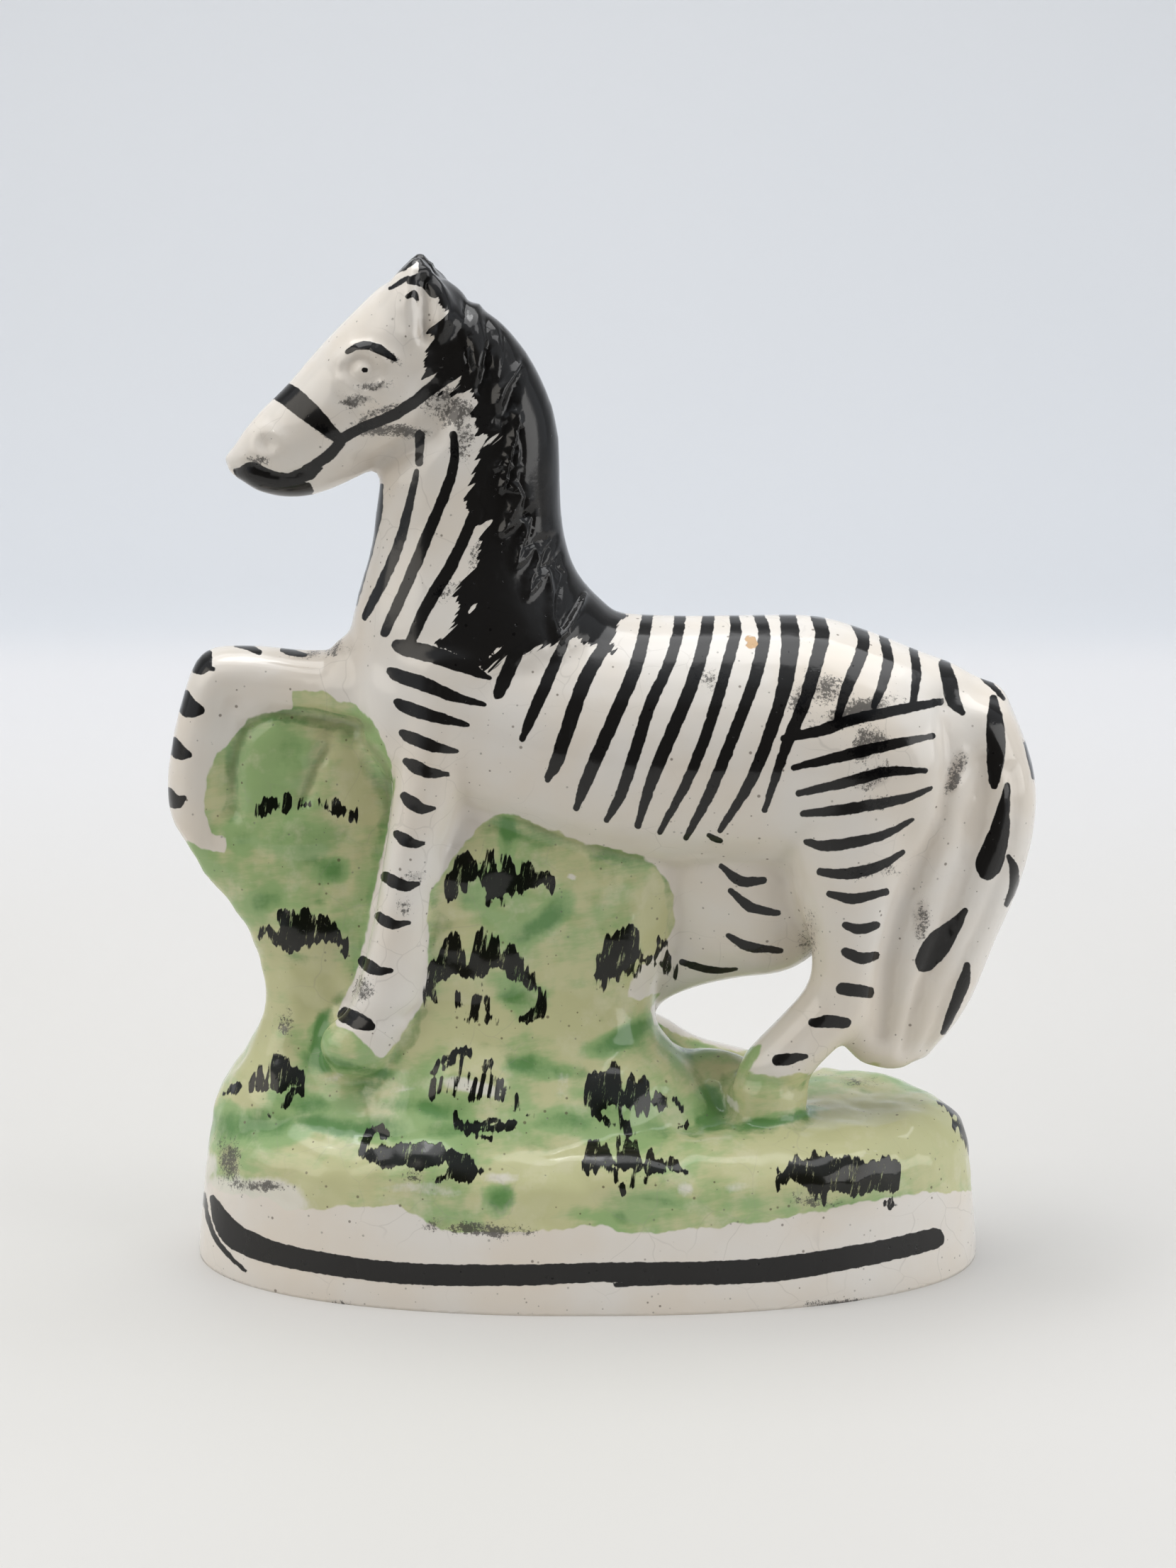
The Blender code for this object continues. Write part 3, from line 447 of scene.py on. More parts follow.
GRASS_STROKES = [
    [(688, 1266, 4), (687, 1275, 3)],
    [(712, 1270, 4), (711, 1278, 3)],
    [(646, 1402, 4), (648, 1412, 7), (650, 1422, 3)],
    [(656, 1416, 5), (657, 1430, 4)],
    [(655, 1437, 6), (655, 1440, 4)],
    [(678, 1404, 6), (674, 1415, 10), (671, 1426, 5)],
    [(681, 1388, 4), (681, 1404, 9), (682, 1414, 5)],
    [(685, 1408, 6), (687, 1425, 4)],
    [(671, 1428, 6), (674, 1440, 4)],
    [(689, 1434, 7), (686, 1440, 5)],
    [(702, 1438, 6), (701, 1446, 4)],
    [(760, 1394, 6), (762, 1408, 8), (759, 1428, 12), (748, 1434, 7), (734, 1438, 5)],
    [(930, 1326, 6), (935, 1333, 6), (928, 1345, 5), (915, 1354, 4), (907, 1355, 4)],
    [(901, 1364, 5), (895, 1378, 4)],
    [(318, 1543, 4), (327, 1536, 7), (338, 1532, 6)],
    [(369, 1321, 4), (374, 1313, 6), (378, 1309, 6), (385, 1320, 6), (388, 1329, 3)],
    [(394, 1289, 5), (398, 1300, 5)],
    [(611, 1513, 4), (620, 1500, 5), (632, 1492, 6), (645, 1484, 7), (656, 1483, 9), (662, 1488, 5)],
    [(637, 1494, 6), (627, 1508, 5)],
    [(650, 1490, 5), (648, 1514, 4)],
    [(612, 1524, 4), (610, 1546, 3)],
    [(622, 1520, 4), (618, 1541, 3)],
    [(634, 1521, 4), (630, 1541, 3)],
    [(646, 1519, 4), (640, 1546, 3)],
    [(660, 1515, 5), (654, 1532, 4)],
    [(672, 1524, 5), (664, 1549, 4)],
    [(684, 1518, 6), (676, 1546, 4)],
    [(690, 1500, 7), (686, 1509, 5)],
    [(696, 1519, 6), (688, 1546, 5)],
    [(706, 1525, 6), (700, 1549, 5)],
    [(716, 1534, 6), (708, 1549, 5)],
    [(730, 1548, 6), (732, 1566, 4)],
    [(641, 1571, 6), (650, 1588, 11), (662, 1593, 9), (680, 1586, 7), (696, 1580, 4)],
    [(660, 1594, 6), (700, 1591, 5), (725, 1586, 5), (743, 1573, 5)],
    [(678, 1603, 4), (690, 1606, 4)],
    [(838, 1569, 4), (850, 1578, 6), (863, 1586, 7)],
    [(872, 1558, 5), (877, 1578, 6), (885, 1591, 10), (888, 1599, 7)],
    [(955, 1591, 4), (970, 1587, 5)],
    [(952, 1551, 6), (958, 1560, 7), (962, 1568, 5)],
    [(541, 1600, 8), (535, 1592, 9), (525, 1598, 7), (515, 1612, 6), (512, 1624, 8)],
    [(865, 1648, 5), (870, 1666, 4)],
    [(893, 1648, 4), (892, 1673, 4)],
    [(876, 1674, 6), (879, 1681, 5)],
    [(905, 1660, 5), (908, 1666, 4)],
    [(1093, 1645, 5), (1097, 1653, 4)],
    [(1095, 1667, 5), (1100, 1678, 5)],
    [(1145, 1672, 7), (1150, 1690, 4)],
    [(1250, 1697, 5), (1262, 1700, 4)],
    [(376, 1568, 5), (379, 1575, 4)],
]

# Patches of black enamel, as closed outlines in pixels
MANE_PATCH = [
    (610, 412), (630, 440), (627, 452), (607, 466), (608, 480), (602, 500), (598, 514), (600, 532),
    (622, 528), (640, 520), (652, 536), (638, 552), (622, 558), (668, 552), (674, 566), (665, 584),
    (676, 600), (673, 614), (690, 616), (676, 640), (673, 656), (661, 690), (655, 702), (661, 718),
    (668, 742), (690, 738), (678, 772), (668, 800), (642, 828), (632, 842), (652, 850), (642, 880),
    (626, 895), (606, 905), (640, 924), (668, 940), (690, 948), (706, 930), (722, 918), (748, 926),
    (764, 912), (788, 908), (812, 898), (838, 908), (862, 920), (870, 892), (884, 862), (905, 840),
    (850, 805), (812, 745), (806, 640), (798, 540), (770, 460), (710, 405), (640, 365), (610, 345),
    (585, 368), (600, 388),
]
MUZZLE_PATCH = [
    (329, 663), (340, 660), (348, 654), (358, 653), (366, 655), (373, 662), (380, 669), (392, 672),
    (404, 670), (414, 666), (425, 662), (440, 656), (455, 660), (440, 676), (428, 680), (430, 690),
    (440, 697), (425, 704), (400, 706), (370, 694), (338, 678),
]
GRASS_PATCHES = [
    [(632, 1238), (640, 1225), (645, 1209), (655, 1201), (664, 1202), (670, 1209), (677, 1224), (683, 1236),
     (689, 1230), (690, 1199), (696, 1212), (699, 1226), (704, 1228), (706, 1204), (712, 1204), (715, 1214),
     (721, 1207), (726, 1222), (731, 1237), (736, 1233), (738, 1214), (743, 1222), (749, 1216), (754, 1228),
     (759, 1241), (752, 1250), (738, 1255), (722, 1261), (714, 1260), (705, 1268), (694, 1265), (687, 1255),
     (679, 1240), (668, 1243), (660, 1240), (656, 1257), (651, 1250), (645, 1246), (644, 1260), (637, 1269),
     (632, 1256)],
    [(764, 1230), (772, 1231), (776, 1241), (768, 1247), (759, 1249)],
    [(778, 1238), (781, 1250), (778, 1257), (773, 1252)],
    [(598, 1400), (601, 1385), (603, 1365), (610, 1355), (616, 1350), (622, 1340), (630, 1328), (638, 1322),
     (643, 1313), (649, 1321), (655, 1345), (660, 1361), (664, 1350), (670, 1335), (674, 1322), (681, 1307),
     (683, 1330), (685, 1342), (690, 1325), (694, 1314), (698, 1325), (702, 1320), (704, 1340), (706, 1362),
     (708, 1350), (714, 1338), (717, 1331), (720, 1340), (723, 1335), (728, 1346), (730, 1372), (734, 1362),
     (739, 1351), (744, 1362), (750, 1372), (752, 1390), (744, 1397), (736, 1389), (727, 1379), (717, 1376),
     (708, 1365), (698, 1363), (690, 1374), (683, 1381), (675, 1376), (668, 1383), (655, 1379), (645, 1373),
     (630, 1377), (622, 1383), (612, 1381), (610, 1395), (615, 1406), (617, 1415), (609, 1412), (605, 1406),
     (604, 1422), (600, 1422)],
    [(845, 1352), (853, 1345), (858, 1320), (865, 1316), (880, 1312), (885, 1305), (893, 1306), (899, 1316),
     (902, 1335), (907, 1348), (903, 1358), (896, 1353), (890, 1371), (883, 1376), (876, 1368), (872, 1385),
     (866, 1378), (858, 1378), (853, 1390), (848, 1400), (843, 1395), (843, 1380), (838, 1376), (846, 1371)],
    [(926, 1360), (934, 1352), (940, 1343), (947, 1352), (950, 1365), (948, 1376), (941, 1366), (937, 1370)],
    [(362, 1150), (363, 1135), (371, 1125), (378, 1130), (386, 1127), (391, 1138), (380, 1146), (370, 1151),
     (365, 1157)],
    [(401, 1143), (402, 1121), (411, 1127), (411, 1136), (405, 1144)],
    [(418, 1141), (420, 1124), (428, 1125), (427, 1134), (436, 1131), (437, 1137), (429, 1139), (423, 1144)],
    [(450, 1127), (456, 1134), (461, 1127), (466, 1146), (454, 1143)],
    [(464, 1149), (468, 1129), (475, 1128), (483, 1135), (493, 1143), (485, 1153), (471, 1153)],
    [(491, 1159), (494, 1145), (501, 1141), (501, 1150), (496, 1159)],
    [(395, 1331), (394, 1316), (400, 1310), (403, 1282), (412, 1284), (418, 1291), (421, 1305), (426, 1300),
     (427, 1284), (434, 1283), (441, 1292), (449, 1308), (450, 1291), (459, 1295), (469, 1300), (476, 1312),
     (484, 1320), (491, 1335), (491, 1346), (481, 1343), (484, 1335), (475, 1329), (460, 1326), (450, 1329),
     (441, 1329), (433, 1336), (420, 1339), (411, 1343), (402, 1339)],
    [(352, 1536), (351, 1527), (358, 1514), (359, 1530), (356, 1539)],
    [(362, 1536), (364, 1512), (369, 1501), (374, 1520), (378, 1532), (380, 1515), (383, 1505), (387, 1489),
     (393, 1491), (397, 1515), (401, 1494), (410, 1502), (419, 1511), (428, 1510), (431, 1525), (431, 1549),
     (421, 1548), (414, 1547), (402, 1562), (407, 1545), (417, 1530), (411, 1526), (402, 1536), (388, 1536),
     (375, 1539)],
    [(824, 1546), (826, 1530), (833, 1518), (845, 1512), (855, 1510), (862, 1506), (866, 1499), (873, 1505),
     (876, 1520), (879, 1540), (883, 1544), (886, 1525), (893, 1517), (898, 1528), (906, 1520), (913, 1525),
     (917, 1545), (918, 1556), (912, 1571), (906, 1561), (900, 1576), (894, 1561), (885, 1562), (875, 1560),
     (860, 1560), (848, 1563), (838, 1566), (829, 1562)],
    [(921, 1556), (925, 1540), (935, 1545), (943, 1544), (943, 1563), (930, 1566)],
    [(508, 1628), (525, 1621), (540, 1618), (548, 1622), (560, 1615), (580, 1613), (600, 1611), (612, 1618),
     (622, 1616), (640, 1625), (654, 1631), (663, 1630), (668, 1645), (679, 1652), (670, 1660), (655, 1669),
     (640, 1661), (620, 1669), (611, 1668), (625, 1655), (636, 1644), (620, 1641), (600, 1649), (580, 1645),
     (560, 1643), (550, 1649), (540, 1643), (525, 1639), (514, 1633)],
    [(822, 1656), (821, 1638), (828, 1625), (832, 1611), (845, 1608), (856, 1618), (863, 1632), (871, 1644),
     (873, 1606), (879, 1625), (886, 1609), (894, 1612), (901, 1630), (909, 1641), (912, 1628), (920, 1621),
     (926, 1635), (936, 1640), (939, 1653), (920, 1656), (905, 1652), (890, 1651), (880, 1649), (865, 1643),
     (852, 1641), (845, 1648), (839, 1656), (830, 1646), (828, 1656)],
    [(941, 1646), (943, 1631), (953, 1635), (959, 1645), (966, 1653), (950, 1653)],
    [(1094, 1662), (1108, 1650), (1119, 1640), (1125, 1631), (1135, 1640), (1145, 1634), (1150, 1624),
     (1158, 1632), (1165, 1621), (1172, 1630), (1181, 1637), (1195, 1631), (1210, 1640), (1235, 1637),
     (1256, 1631), (1268, 1640), (1271, 1655), (1266, 1676), (1250, 1681), (1235, 1679), (1215, 1683),
     (1201, 1689), (1194, 1679), (1178, 1681), (1166, 1679), (1162, 1697), (1157, 1679), (1145, 1688),
     (1138, 1671), (1129, 1669), (1115, 1663), (1104, 1673)],
    [(1325, 1551), (1340, 1558), (1346, 1543), (1357, 1552), (1368, 1570), (1380, 1590), (1385, 1622),
     (1366, 1627), (1358, 1608), (1352, 1592), (1344, 1589), (1348, 1575), (1335, 1568)],
]

# White glaze left between brush marks: dry gaps in the mane
GAPS = [
    [(666, 760, 4), (676, 748, 8), (690, 737, 8)],
    [(676, 632, 4), (690, 624, 8), (704, 613, 4)],
    [(662, 862, 4), (668, 857, 7), (674, 850, 4)],
    [(640, 545, 3), (628, 556, 5), (614, 560, 5)],
    [(725, 962, 8), (745, 944, 14), (766, 930, 8)],
    [(690, 925, 3), (700, 915, 4)],
]

# Where the green wash lies, in one outline that goes round the leaves, the legs and the ground
GREEN_WASH = [
    (413, 975), (455, 974), (475, 985), (500, 993), (520, 1015), (540, 1045), (553, 1075), (555, 1095),
    (550, 1140), (545, 1180), (535, 1225), (525, 1280), (510, 1340), (498, 1385), (487, 1405), (476, 1430),
    (474, 1446), (492, 1452), (510, 1468), (530, 1490), (542, 1490), (562, 1466), (582, 1438), (598, 1410),
    (604, 1390), (606, 1340), (603, 1300), (608, 1260), (620, 1235), (640, 1210), (660, 1185), (680, 1160),
    (700, 1150), (728, 1148), (760, 1165), (820, 1188), (870, 1200), (905, 1210), (920, 1220), (935, 1235),
    (950, 1262), (950, 1300), (940, 1325), (925, 1345), (905, 1362), (892, 1390), (884, 1405), (905, 1410),
    (930, 1402), (915, 1425), (925, 1445), (985, 1470), (1050, 1483), (1076, 1472), (1068, 1495),
    (1056, 1514), (1090, 1520), (1150, 1514), (1170, 1500), (1230, 1500), (1290, 1518), (1345, 1535),
    (1380, 1570), (1400, 1640), (1402, 1678), (1375, 1680), (1290, 1684), (1200, 1700), (1130, 1715),
    (1050, 1727), (960, 1735), (900, 1740), (870, 1738), (850, 1727), (820, 1728), (782, 1736), (740, 1740),
    (680, 1738), (620, 1736), (600, 1722), (560, 1700), (480, 1703), (405, 1706), (380, 1692), (310, 1682),
    (288, 1665), (270, 1640), (240, 1600), (250, 1500), (330, 1470), (345, 1420), (335, 1340), (275, 1270),
    (235, 1200), (262, 1188), (285, 1197), (316, 1203), (319, 1180), (300, 1175), (290, 1150), (288, 1120),
    (295, 1085), (305, 1065), (330, 1040), (350, 1015), (380, 1003), (412, 1000),
]

# Soft patches: (x, y, half length, half height, lean in degrees, strength)
GREEN_POOLS = [
    (770, 1295, 48, 20, -35, 1.0),
    (880, 1462, 62, 16, -22, 1.0),
    (712, 1180, 12, 34, 10, 0.6),
    (470, 1232, 24, 20, 0, 0.8),
    (375, 1268, 28, 20, -30, 0.8),
    (335, 1178, 20, 26, 0, 0.5),
    (430, 1180, 46, 30, 0, 0.35),
    (400, 1070, 40, 55, 20, 0.3),
    (600, 1566, 60, 20, 5, 0.75),
    (800, 1582, 44, 22, 0, 0.85),
    (490, 1506, 66, 12, 12, 0.9),
    (452, 1465, 12, 34, 20, 0.75),
    (706, 1694, 24, 28, 20, 0.9),
    (1000, 1562, 24, 34, 0, 0.65),
    (1105, 1575, 64, 9, -8, 0.8),
    (770, 1510, 60, 16, 10, 0.6),
    (730, 1400, 46, 26, 20, 0.6),
    (670, 1260, 26, 40, 0, 0.35),
    (860, 1240, 30, 60, 0, 0.3),
    (350, 1590, 90, 30, 4, 0.65),
    (500, 1590, 100, 17, 3, 0.95),
    (430, 1558, 60, 18, 10, 0.65),
    (640, 1592, 50, 13, 0, 0.75),
    (985, 1480, 50, 14, 12, 0.4),
    (880, 1560, 46, 14, 0, 0.5),
    (940, 1690, 50, 8, 0, 0.4),
    (850, 1712, 60, 8, 0, 0.35),
]
YELLOW_PATCHES = [
    (1200, 1610, 230, 90, 0, 1.0),
    (700, 1660, 240, 50, 0, 0.6),
    (510, 1130, 34, 80, 0, 0.9),
    (310, 1120, 30, 60, 0, 0.9),
    (450, 1390, 60, 70, 0, 0.8),
    (850, 1230, 60, 50, 20, 0.6),
    (640, 1290, 40, 60, 0, 0.8),
    (920, 1300, 30, 70, 0, 0.8),
    (590, 1470, 40, 30, 0, 0.8),
    (1180, 1530, 90, 30, 0, 0.5),
]
# Painted shadow in the green: strokes along the legs' relief edges and under the belly, as (x, y, width)
GROOVE_SHADOWS = [
    [(328, 1112, 8), (327, 1085, 12), (335, 1050, 12), (348, 1022, 12), (365, 1008, 10), (390, 1005, 9),
     (420, 1009, 9), (460, 1018, 10), (500, 1022, 16), (520, 1026, 14)],
    [(465, 1050, 5), (445, 1085, 8), (430, 1120, 5)],
    [(728, 1151, 8), (780, 1176, 9), (850, 1198, 9), (925, 1216, 6)],
    [(485, 1030, 8), (520, 1052, 10), (546, 1090, 10), (545, 1160, 6)],
]
SMUDGES_AND_BROW_SHADE = [
    (523, 545, 34, 11, -10, 1.15),
    (500, 568, 40, 11, -8, 1.15),
    # Painted shade under the brow, beside the eye
    (552, 503, 24, 11, 38, 1.05),
    (470, 560, 14, 8, 20, 0.8),
    (635, 572, 62, 34, 20, 1.05),
    (655, 622, 26, 46, 10, 0.95),
    (560, 607, 66, 12, 0, 1.05),
    (458, 614, 28, 11, 35, 0.95),
    (530, 585, 62, 11, -26, 0.9),
    (360, 648, 30, 9, 20, 0.9),
    (665, 640, 14, 40, 20, 0.7),
    (632, 835, 26, 20, -40, 0.85),
    (672, 790, 14, 26, 20, 0.9),
    (1205, 1004, 76, 26, -12, 1.15),
    (1165, 975, 46, 26, 0, 0.95),
    (1130, 985, 24, 40, 10, 0.9),
    (1225, 1050, 50, 26, -10, 1.1),
    (1235, 1095, 50, 26, -10, 0.95),
    (1245, 1130, 34, 14, -10, 0.8),
    (1010, 955, 30, 34, 0, 0.75),
    (1235, 1233, 50, 15, -10, 0.85),
    (1130, 930, 16, 40, 0, 0.3),
    (580, 1236, 24, 13, 0, 0.95),
    (572, 1280, 15, 24, 10, 0.9),
    (515, 1398, 22, 28, 10, 0.95),
    (322, 1636, 26, 44, -14, 1.0),
    (366, 1674, 60, 15, 8, 1.0),
    (405, 1440, 18, 34, 0, 0.85),
    (690, 1738, 84, 14, 2, 1.05),
    (590, 1662, 36, 18, 10, 0.85),
    (1145, 1698, 56, 14, -5, 0.95),
    (1170, 1838, 70, 13, -7, 1.0),
    (335, 1812, 34, 12, 28, 0.85),
    (480, 1836, 50, 9, 6, 0.8),
    (640, 450, 26, 20, 40, 0.6),
    (560, 900, 20, 6, 0, 0.3),
]
DIRT = [
    (1346, 1088, 17, 42, 15, 1.1),
    (1302, 1300, 14, 40, 10, 0.9),
    (1140, 1318, 20, 60, 12, 0.75),
    (455, 915, 62, 14, -3, 0.8),
    (1205, 1524, 50, 14, 6, 0.7),
    (612, 1726, 26, 16, 0, 0.85),
    (1130, 1690, 44, 14, 0, 0.4),
    (560, 690, 26, 20, 0, 0.3),
    (945, 1390, 30, 10, -30, 0.3),
]
# Pale cream where the green is left off: partly bare glaze, partly painted highlights where the glaze shone
# on the tufts and ground
BARE_AND_GLINT_PATCHES = [
    (665, 1535, 52, 17, 10, 0.95),
    (600, 1680, 76, 14, 0, 0.6),
    (350, 1690, 120, 36, 8, 1.0),
    (285, 1655, 22, 40, 20, 0.9),
    (560, 1540, 36, 12, -10, 0.6),
    (790, 1530, 20, 34, -15, 0.5),
    (705, 1662, 40, 12, 0, 0.6),
    (470, 1522, 26, 10, 0, 0.5),
    (808, 1241, 9, 5, -10, 1.0),
    (970, 1672, 16, 12, 0, 0.7),
    (1040, 1670, 26, 14, 0, 0.5),
    (1230, 1625, 40, 8, -12, 0.5),
    (1035, 1553, 6, 22, -40, 0.8),
]
CHIPS = [
    [(1051, 900, 4), (1058, 902, 11), (1065, 908, 9), (1060, 917, 4)],
    [(1056, 906, 5), (1053, 921, 3)],
]

# Fine raised and sunken lines in pixels: (half width, height in shares, path)
FINE_LINES = [
    (4.5, 0.50, [(724, 520), (706, 548), (694, 575), (690, 598), (712, 592), (722, 582), (727, 600),
                 (722, 625), (706, 648), (698, 660), (716, 652), (722, 640), (712, 672), (707, 690),
                 (724, 686), (730, 700), (716, 730), (707, 750), (722, 742), (736, 736), (738, 752),
                 (730, 778), (728, 797), (742, 786), (752, 772), (757, 790), (748, 818), (746, 838),
                 (758, 822), (772, 808), (776, 830), (779, 868), (784, 890), (790, 899), (800, 890),
                 (812, 868), (825, 838)]),
    (3.0, -0.28, [(729, 600), (732, 640), (728, 680), (736, 700), (735, 722), (748, 730), (746, 750),
                  (738, 772), (756, 766), (780, 758), (768, 778), (762, 800), (776, 797), (787, 782),
                  (786, 800), (796, 808), (788, 840), (784, 870), (792, 884), (806, 862), (824, 832)]),
    (5.0, -0.45, [(681, 462), (685, 500), (683, 530), (676, 552)]),
    (4.0, -0.25, [(700, 470), (706, 505), (700, 540)]),
    (4.0, -0.25, [(655, 425), (662, 470), (660, 520)]),
    (6.0, -0.10, [(383, 606), (392, 612), (397, 622), (396, 634), (389, 648)]),
    (4.0, 0.13, [(492, 512), (508, 496), (528, 497), (543, 510), (547, 526), (538, 541), (520, 549)]),
    (4.0, -0.11, [(488, 514), (482, 530), (488, 548), (504, 558), (528, 557), (546, 546)]),
    (9.0, -0.16, [(480, 560), (510, 580), (540, 580), (575, 560), (600, 535)]),
]

# Brush marks that both sides have
BODY_STROKES = NECK_STROKES + FORELEG_STROKES + FLANK_STROKES + HIND_LEG_STROKES + TAIL_STROKES

# How brush marks are laid: pixels
PAINT_REACH = 40.0
STROKE_SWELL = 1.2
THIN_SWELL = 1.2
TUFT_SWELL = 1.4
STROKE_SMOOTHING = 4
PATCH_FADE = (1.4, 0.25)
# How the painted groove shadows fade at their edges
GROOVE_SHADOW_FADE = (-6.0, 5.0)
SOFT_WANDER = 12.0
SOFT_WANDER_SIZE = 0.006
SOFT_WANDER_SEEDS = (11.0, 17.0)
HAND_WANDER = 7.0
# That hand's waves each way: the long one, where it starts, and the short one of half its size
WANDER_ACROSS = (90.0, 1.0, 60.0)
WANDER_DOWN = (110.0, 2.0, 70.0)
# The far side has every third tuft and every second pool
FAR_TUFT_STEP = 3
FAR_POOL_STEP = 2
# Marks are the near side's on all that faces the picture's camera
SIDE_CHANGE = (-0.12, 0.0)

# The near side's skin is split finer this near to the edge of a crisp mark: pixels
SPLIT_REACHES = [5.5, 2.5]
SPLIT_FACING = 0.12
SPLIT_SOFTENING = 2
CRISP_MARKS = ["ink", "tuft", "mane", "ridge"]

# Finer relief: heights in shares, and the sizes of its lumps in metres
WAVE_HEIGHT = 0.16
WAVE_SIZE = 0.014
WAVE_SEED = 1.0
LEAF_HEIGHT = 0.42
LEAF_SIZE = 0.0065
LEAF_SEED = 4.0
LEAF_STRETCH = (1.0, 1.0, 0.45)
LEAF_FADE = (-4.0, 12.0)
SMALL_LEAF_SHARE = 0.5
SMALL_LEAF_SIZE = LEAF_SIZE / 2.5
SMALL_LEAF_SEED = 9.0
HAIR_HEIGHT = 0.035
HAIR_SIZE = 0.0034
HAIR_SEED = 3.0
HAIR_LEAN = 0.45
HAIR_STRETCH = 0.12
HAIR_FADE = (0.0, 1.0)

# How hollows are found: passes of smoothing, and the deepest in metres
HOLLOW_SMOOTHING = 4
HOLLOW_DEPTH = 4.0e-5

# Colours
CREAM_PALE = (0.80, 0.765, 0.715, 1.0)
CREAM_WARM = (0.78, 0.71, 0.62, 1.0)
# The cream that hollows and creases darken towards, as painted shade
CREAM_IN_HOLLOW_SHADE = (0.55, 0.47, 0.38, 1.0)
GREEN_YELLOW = (0.57, 0.57, 0.31, 1.0)
GREEN_LEAF = (0.31, 0.46, 0.19, 1.0)
GREEN_PALE = (0.68, 0.66, 0.45, 1.0)
GREEN_POOL = (0.075, 0.23, 0.05, 1.0)
# The dark olive of painted shadow along grooves and under the belly
GREEN_FOLD_SHADOW = (0.20, 0.22, 0.11, 1.0)
ENAMEL_BLACK = (0.0012, 0.0012, 0.0016, 1.0)
ENAMEL_GREY = (0.007, 0.007, 0.008, 1.0)
IRON_BROWN = (0.10, 0.07, 0.045, 1.0)
PINHOLE_GREY = (0.16, 0.15, 0.13, 1.0)
CRACK_GREY = (0.34, 0.31, 0.27, 1.0)
DIRT_BROWN = (0.20, 0.135, 0.085, 1.0)
# Grey of the smudges and of the painted shade under the brow
SMUDGE_AND_SHADE_GREY = (0.075, 0.07, 0.065, 1.0)
BARE_CLAY = (0.64, 0.43, 0.25, 1.0)

# Noises in the glaze: waves to a metre, detail, roughness
TONE_NOISE = (70.0, 3.0)
DRIFT_NOISE = (75.0, 4.0, 0.6)
BRUSH_NOISE = (520.0, 4.0, 0.7)
MOTTLE_NOISE = (190.0, 4.0, 0.65)
POOL_NOISE = (170.0, 5.0, 0.65)
BARE_AND_GLINT_NOISE = (240.0, 4.0, 0.7)
GRIME_NOISE = (480.0, 5.0, 0.7)
VEIL_NOISE = (330.0, 4.0, 0.7)
STIPPLE_NOISE = (2300.0, 5.0, 0.8)
STIPPLE_DRIFT_NOISE = (420.0, 3.0)
DRY_NOISE = (1700.0, 4.0, 0.8)
ENAMEL_NOISE = (700.0, 4.0, 0.7)
CRAZED_NOISE = (60.0,)
SLOW_SKIN_NOISE = (160.0, 2.0)
FINE_SKIN_NOISE = (900.0, 3.0)
NOISE_MIDDLE = 0.5

# Ramps: the values that they run between, then the shares that they run between if not 0 and 1
TONE_RAMP = (0.3, 0.7)
HOLLOW_SHADE_RAMP = (0.05, 0.9)
LEAF_RAMP = (0.40, 0.62)
MOTTLE_RAMP = (0.5, 0.72, 0.0, 0.5)
POOL_RAMP = (1.2, 2.0, 0.0, 0.9)
BARE_AND_GLINT_RAMP = (0.85, 1.25)
GRIME_RAMP = (0.85, 1.75, 0.0, 0.5)
DULL_RAMP = (0.85, 1.5)
VEIL_RAMP = (1.15, 1.85, 0.0, 0.7)
STIPPLE_RAMP = (1.0, 1.10, 0.0, 0.85)
DRY_RAMP = (0.57, 0.69, 0.0, 0.75)
ENAMEL_RAMP = (0.55, 0.8)
CRAZED_RAMP = (0.48, 0.62)

# Brush edges: the noise's waves to a metre, and how far it breaks and softens them in pixels
WASH_EDGE = {"Noise_Scale": 420.0, "Break": 16.0, "Softness": 1.6}
STROKE_EDGE = {"Noise_Scale": 900.0, "Break": 4.0, "Softness": 0.7}
TUFT_EDGE = {"Noise_Scale": 1300.0, "Break": 26.0, "Softness": 0.9}
LOCK_EDGE = {"Noise_Scale": 1500.0, "Break": 34.0, "Softness": 0.9}
CHIP_EDGE = {"Noise_Scale": 1300.0, "Break": 7.0, "Softness": 0.6}

# Brush streaks: their lean in degrees, and how much longer than wide they are
WASH_COMB = (84.0, 4.0)
VEIL_COMB = (60.0, 3.0)
TUFT_COMB = (6.0, 9.0)
MANE_COMB = (48.0, 9.0)
DRY_COMB = (10.0, 7.0)
# Noises drawn out upwards, and the turn of the enamel's
WASH_STRETCH = (1.0, 1.0, 0.7)
DRIFT_STRETCH = (1.0, 1.0, 0.5)
ENAMEL_STRETCH = (1.0, 1.0, 0.35)
ENAMEL_TURN = (0.0, 0.5, 0.0)

# Dots and cracks: cells to a metre, their size in the cell, and the share of cells that have one
IRON_SPECKS = {"Scale": 700.0, "Size": 0.2, "Share": 0.55}
PINHOLES = {"Scale": 1100.0, "Size": 0.24, "Share": 0.26}
SPECK_CORE = 0.5
CRAZING = {"Scale": 150.0, "Width": 0.016}
CRACK_BEND = 0.004

# How much each thing shows, or tells on another
# Hollow shade is painted shade in creases and recesses
HOLLOW_SHADE_IN_CREAM = 0.2
HOLLOW_SHADE_IN_POOL = 0.5
POOL_IN_LEAF = 0.5
YELLOW_IN_LEAF = 0.2
BRUSH_IN_LEAF = 0.4
BRUSH_IN_POOL = 0.5
POOL_NOISE_SHARE = 1.5
# Painted shadow along the grooves and under the belly
FOLD_SHADOW_SHARE = 0.5
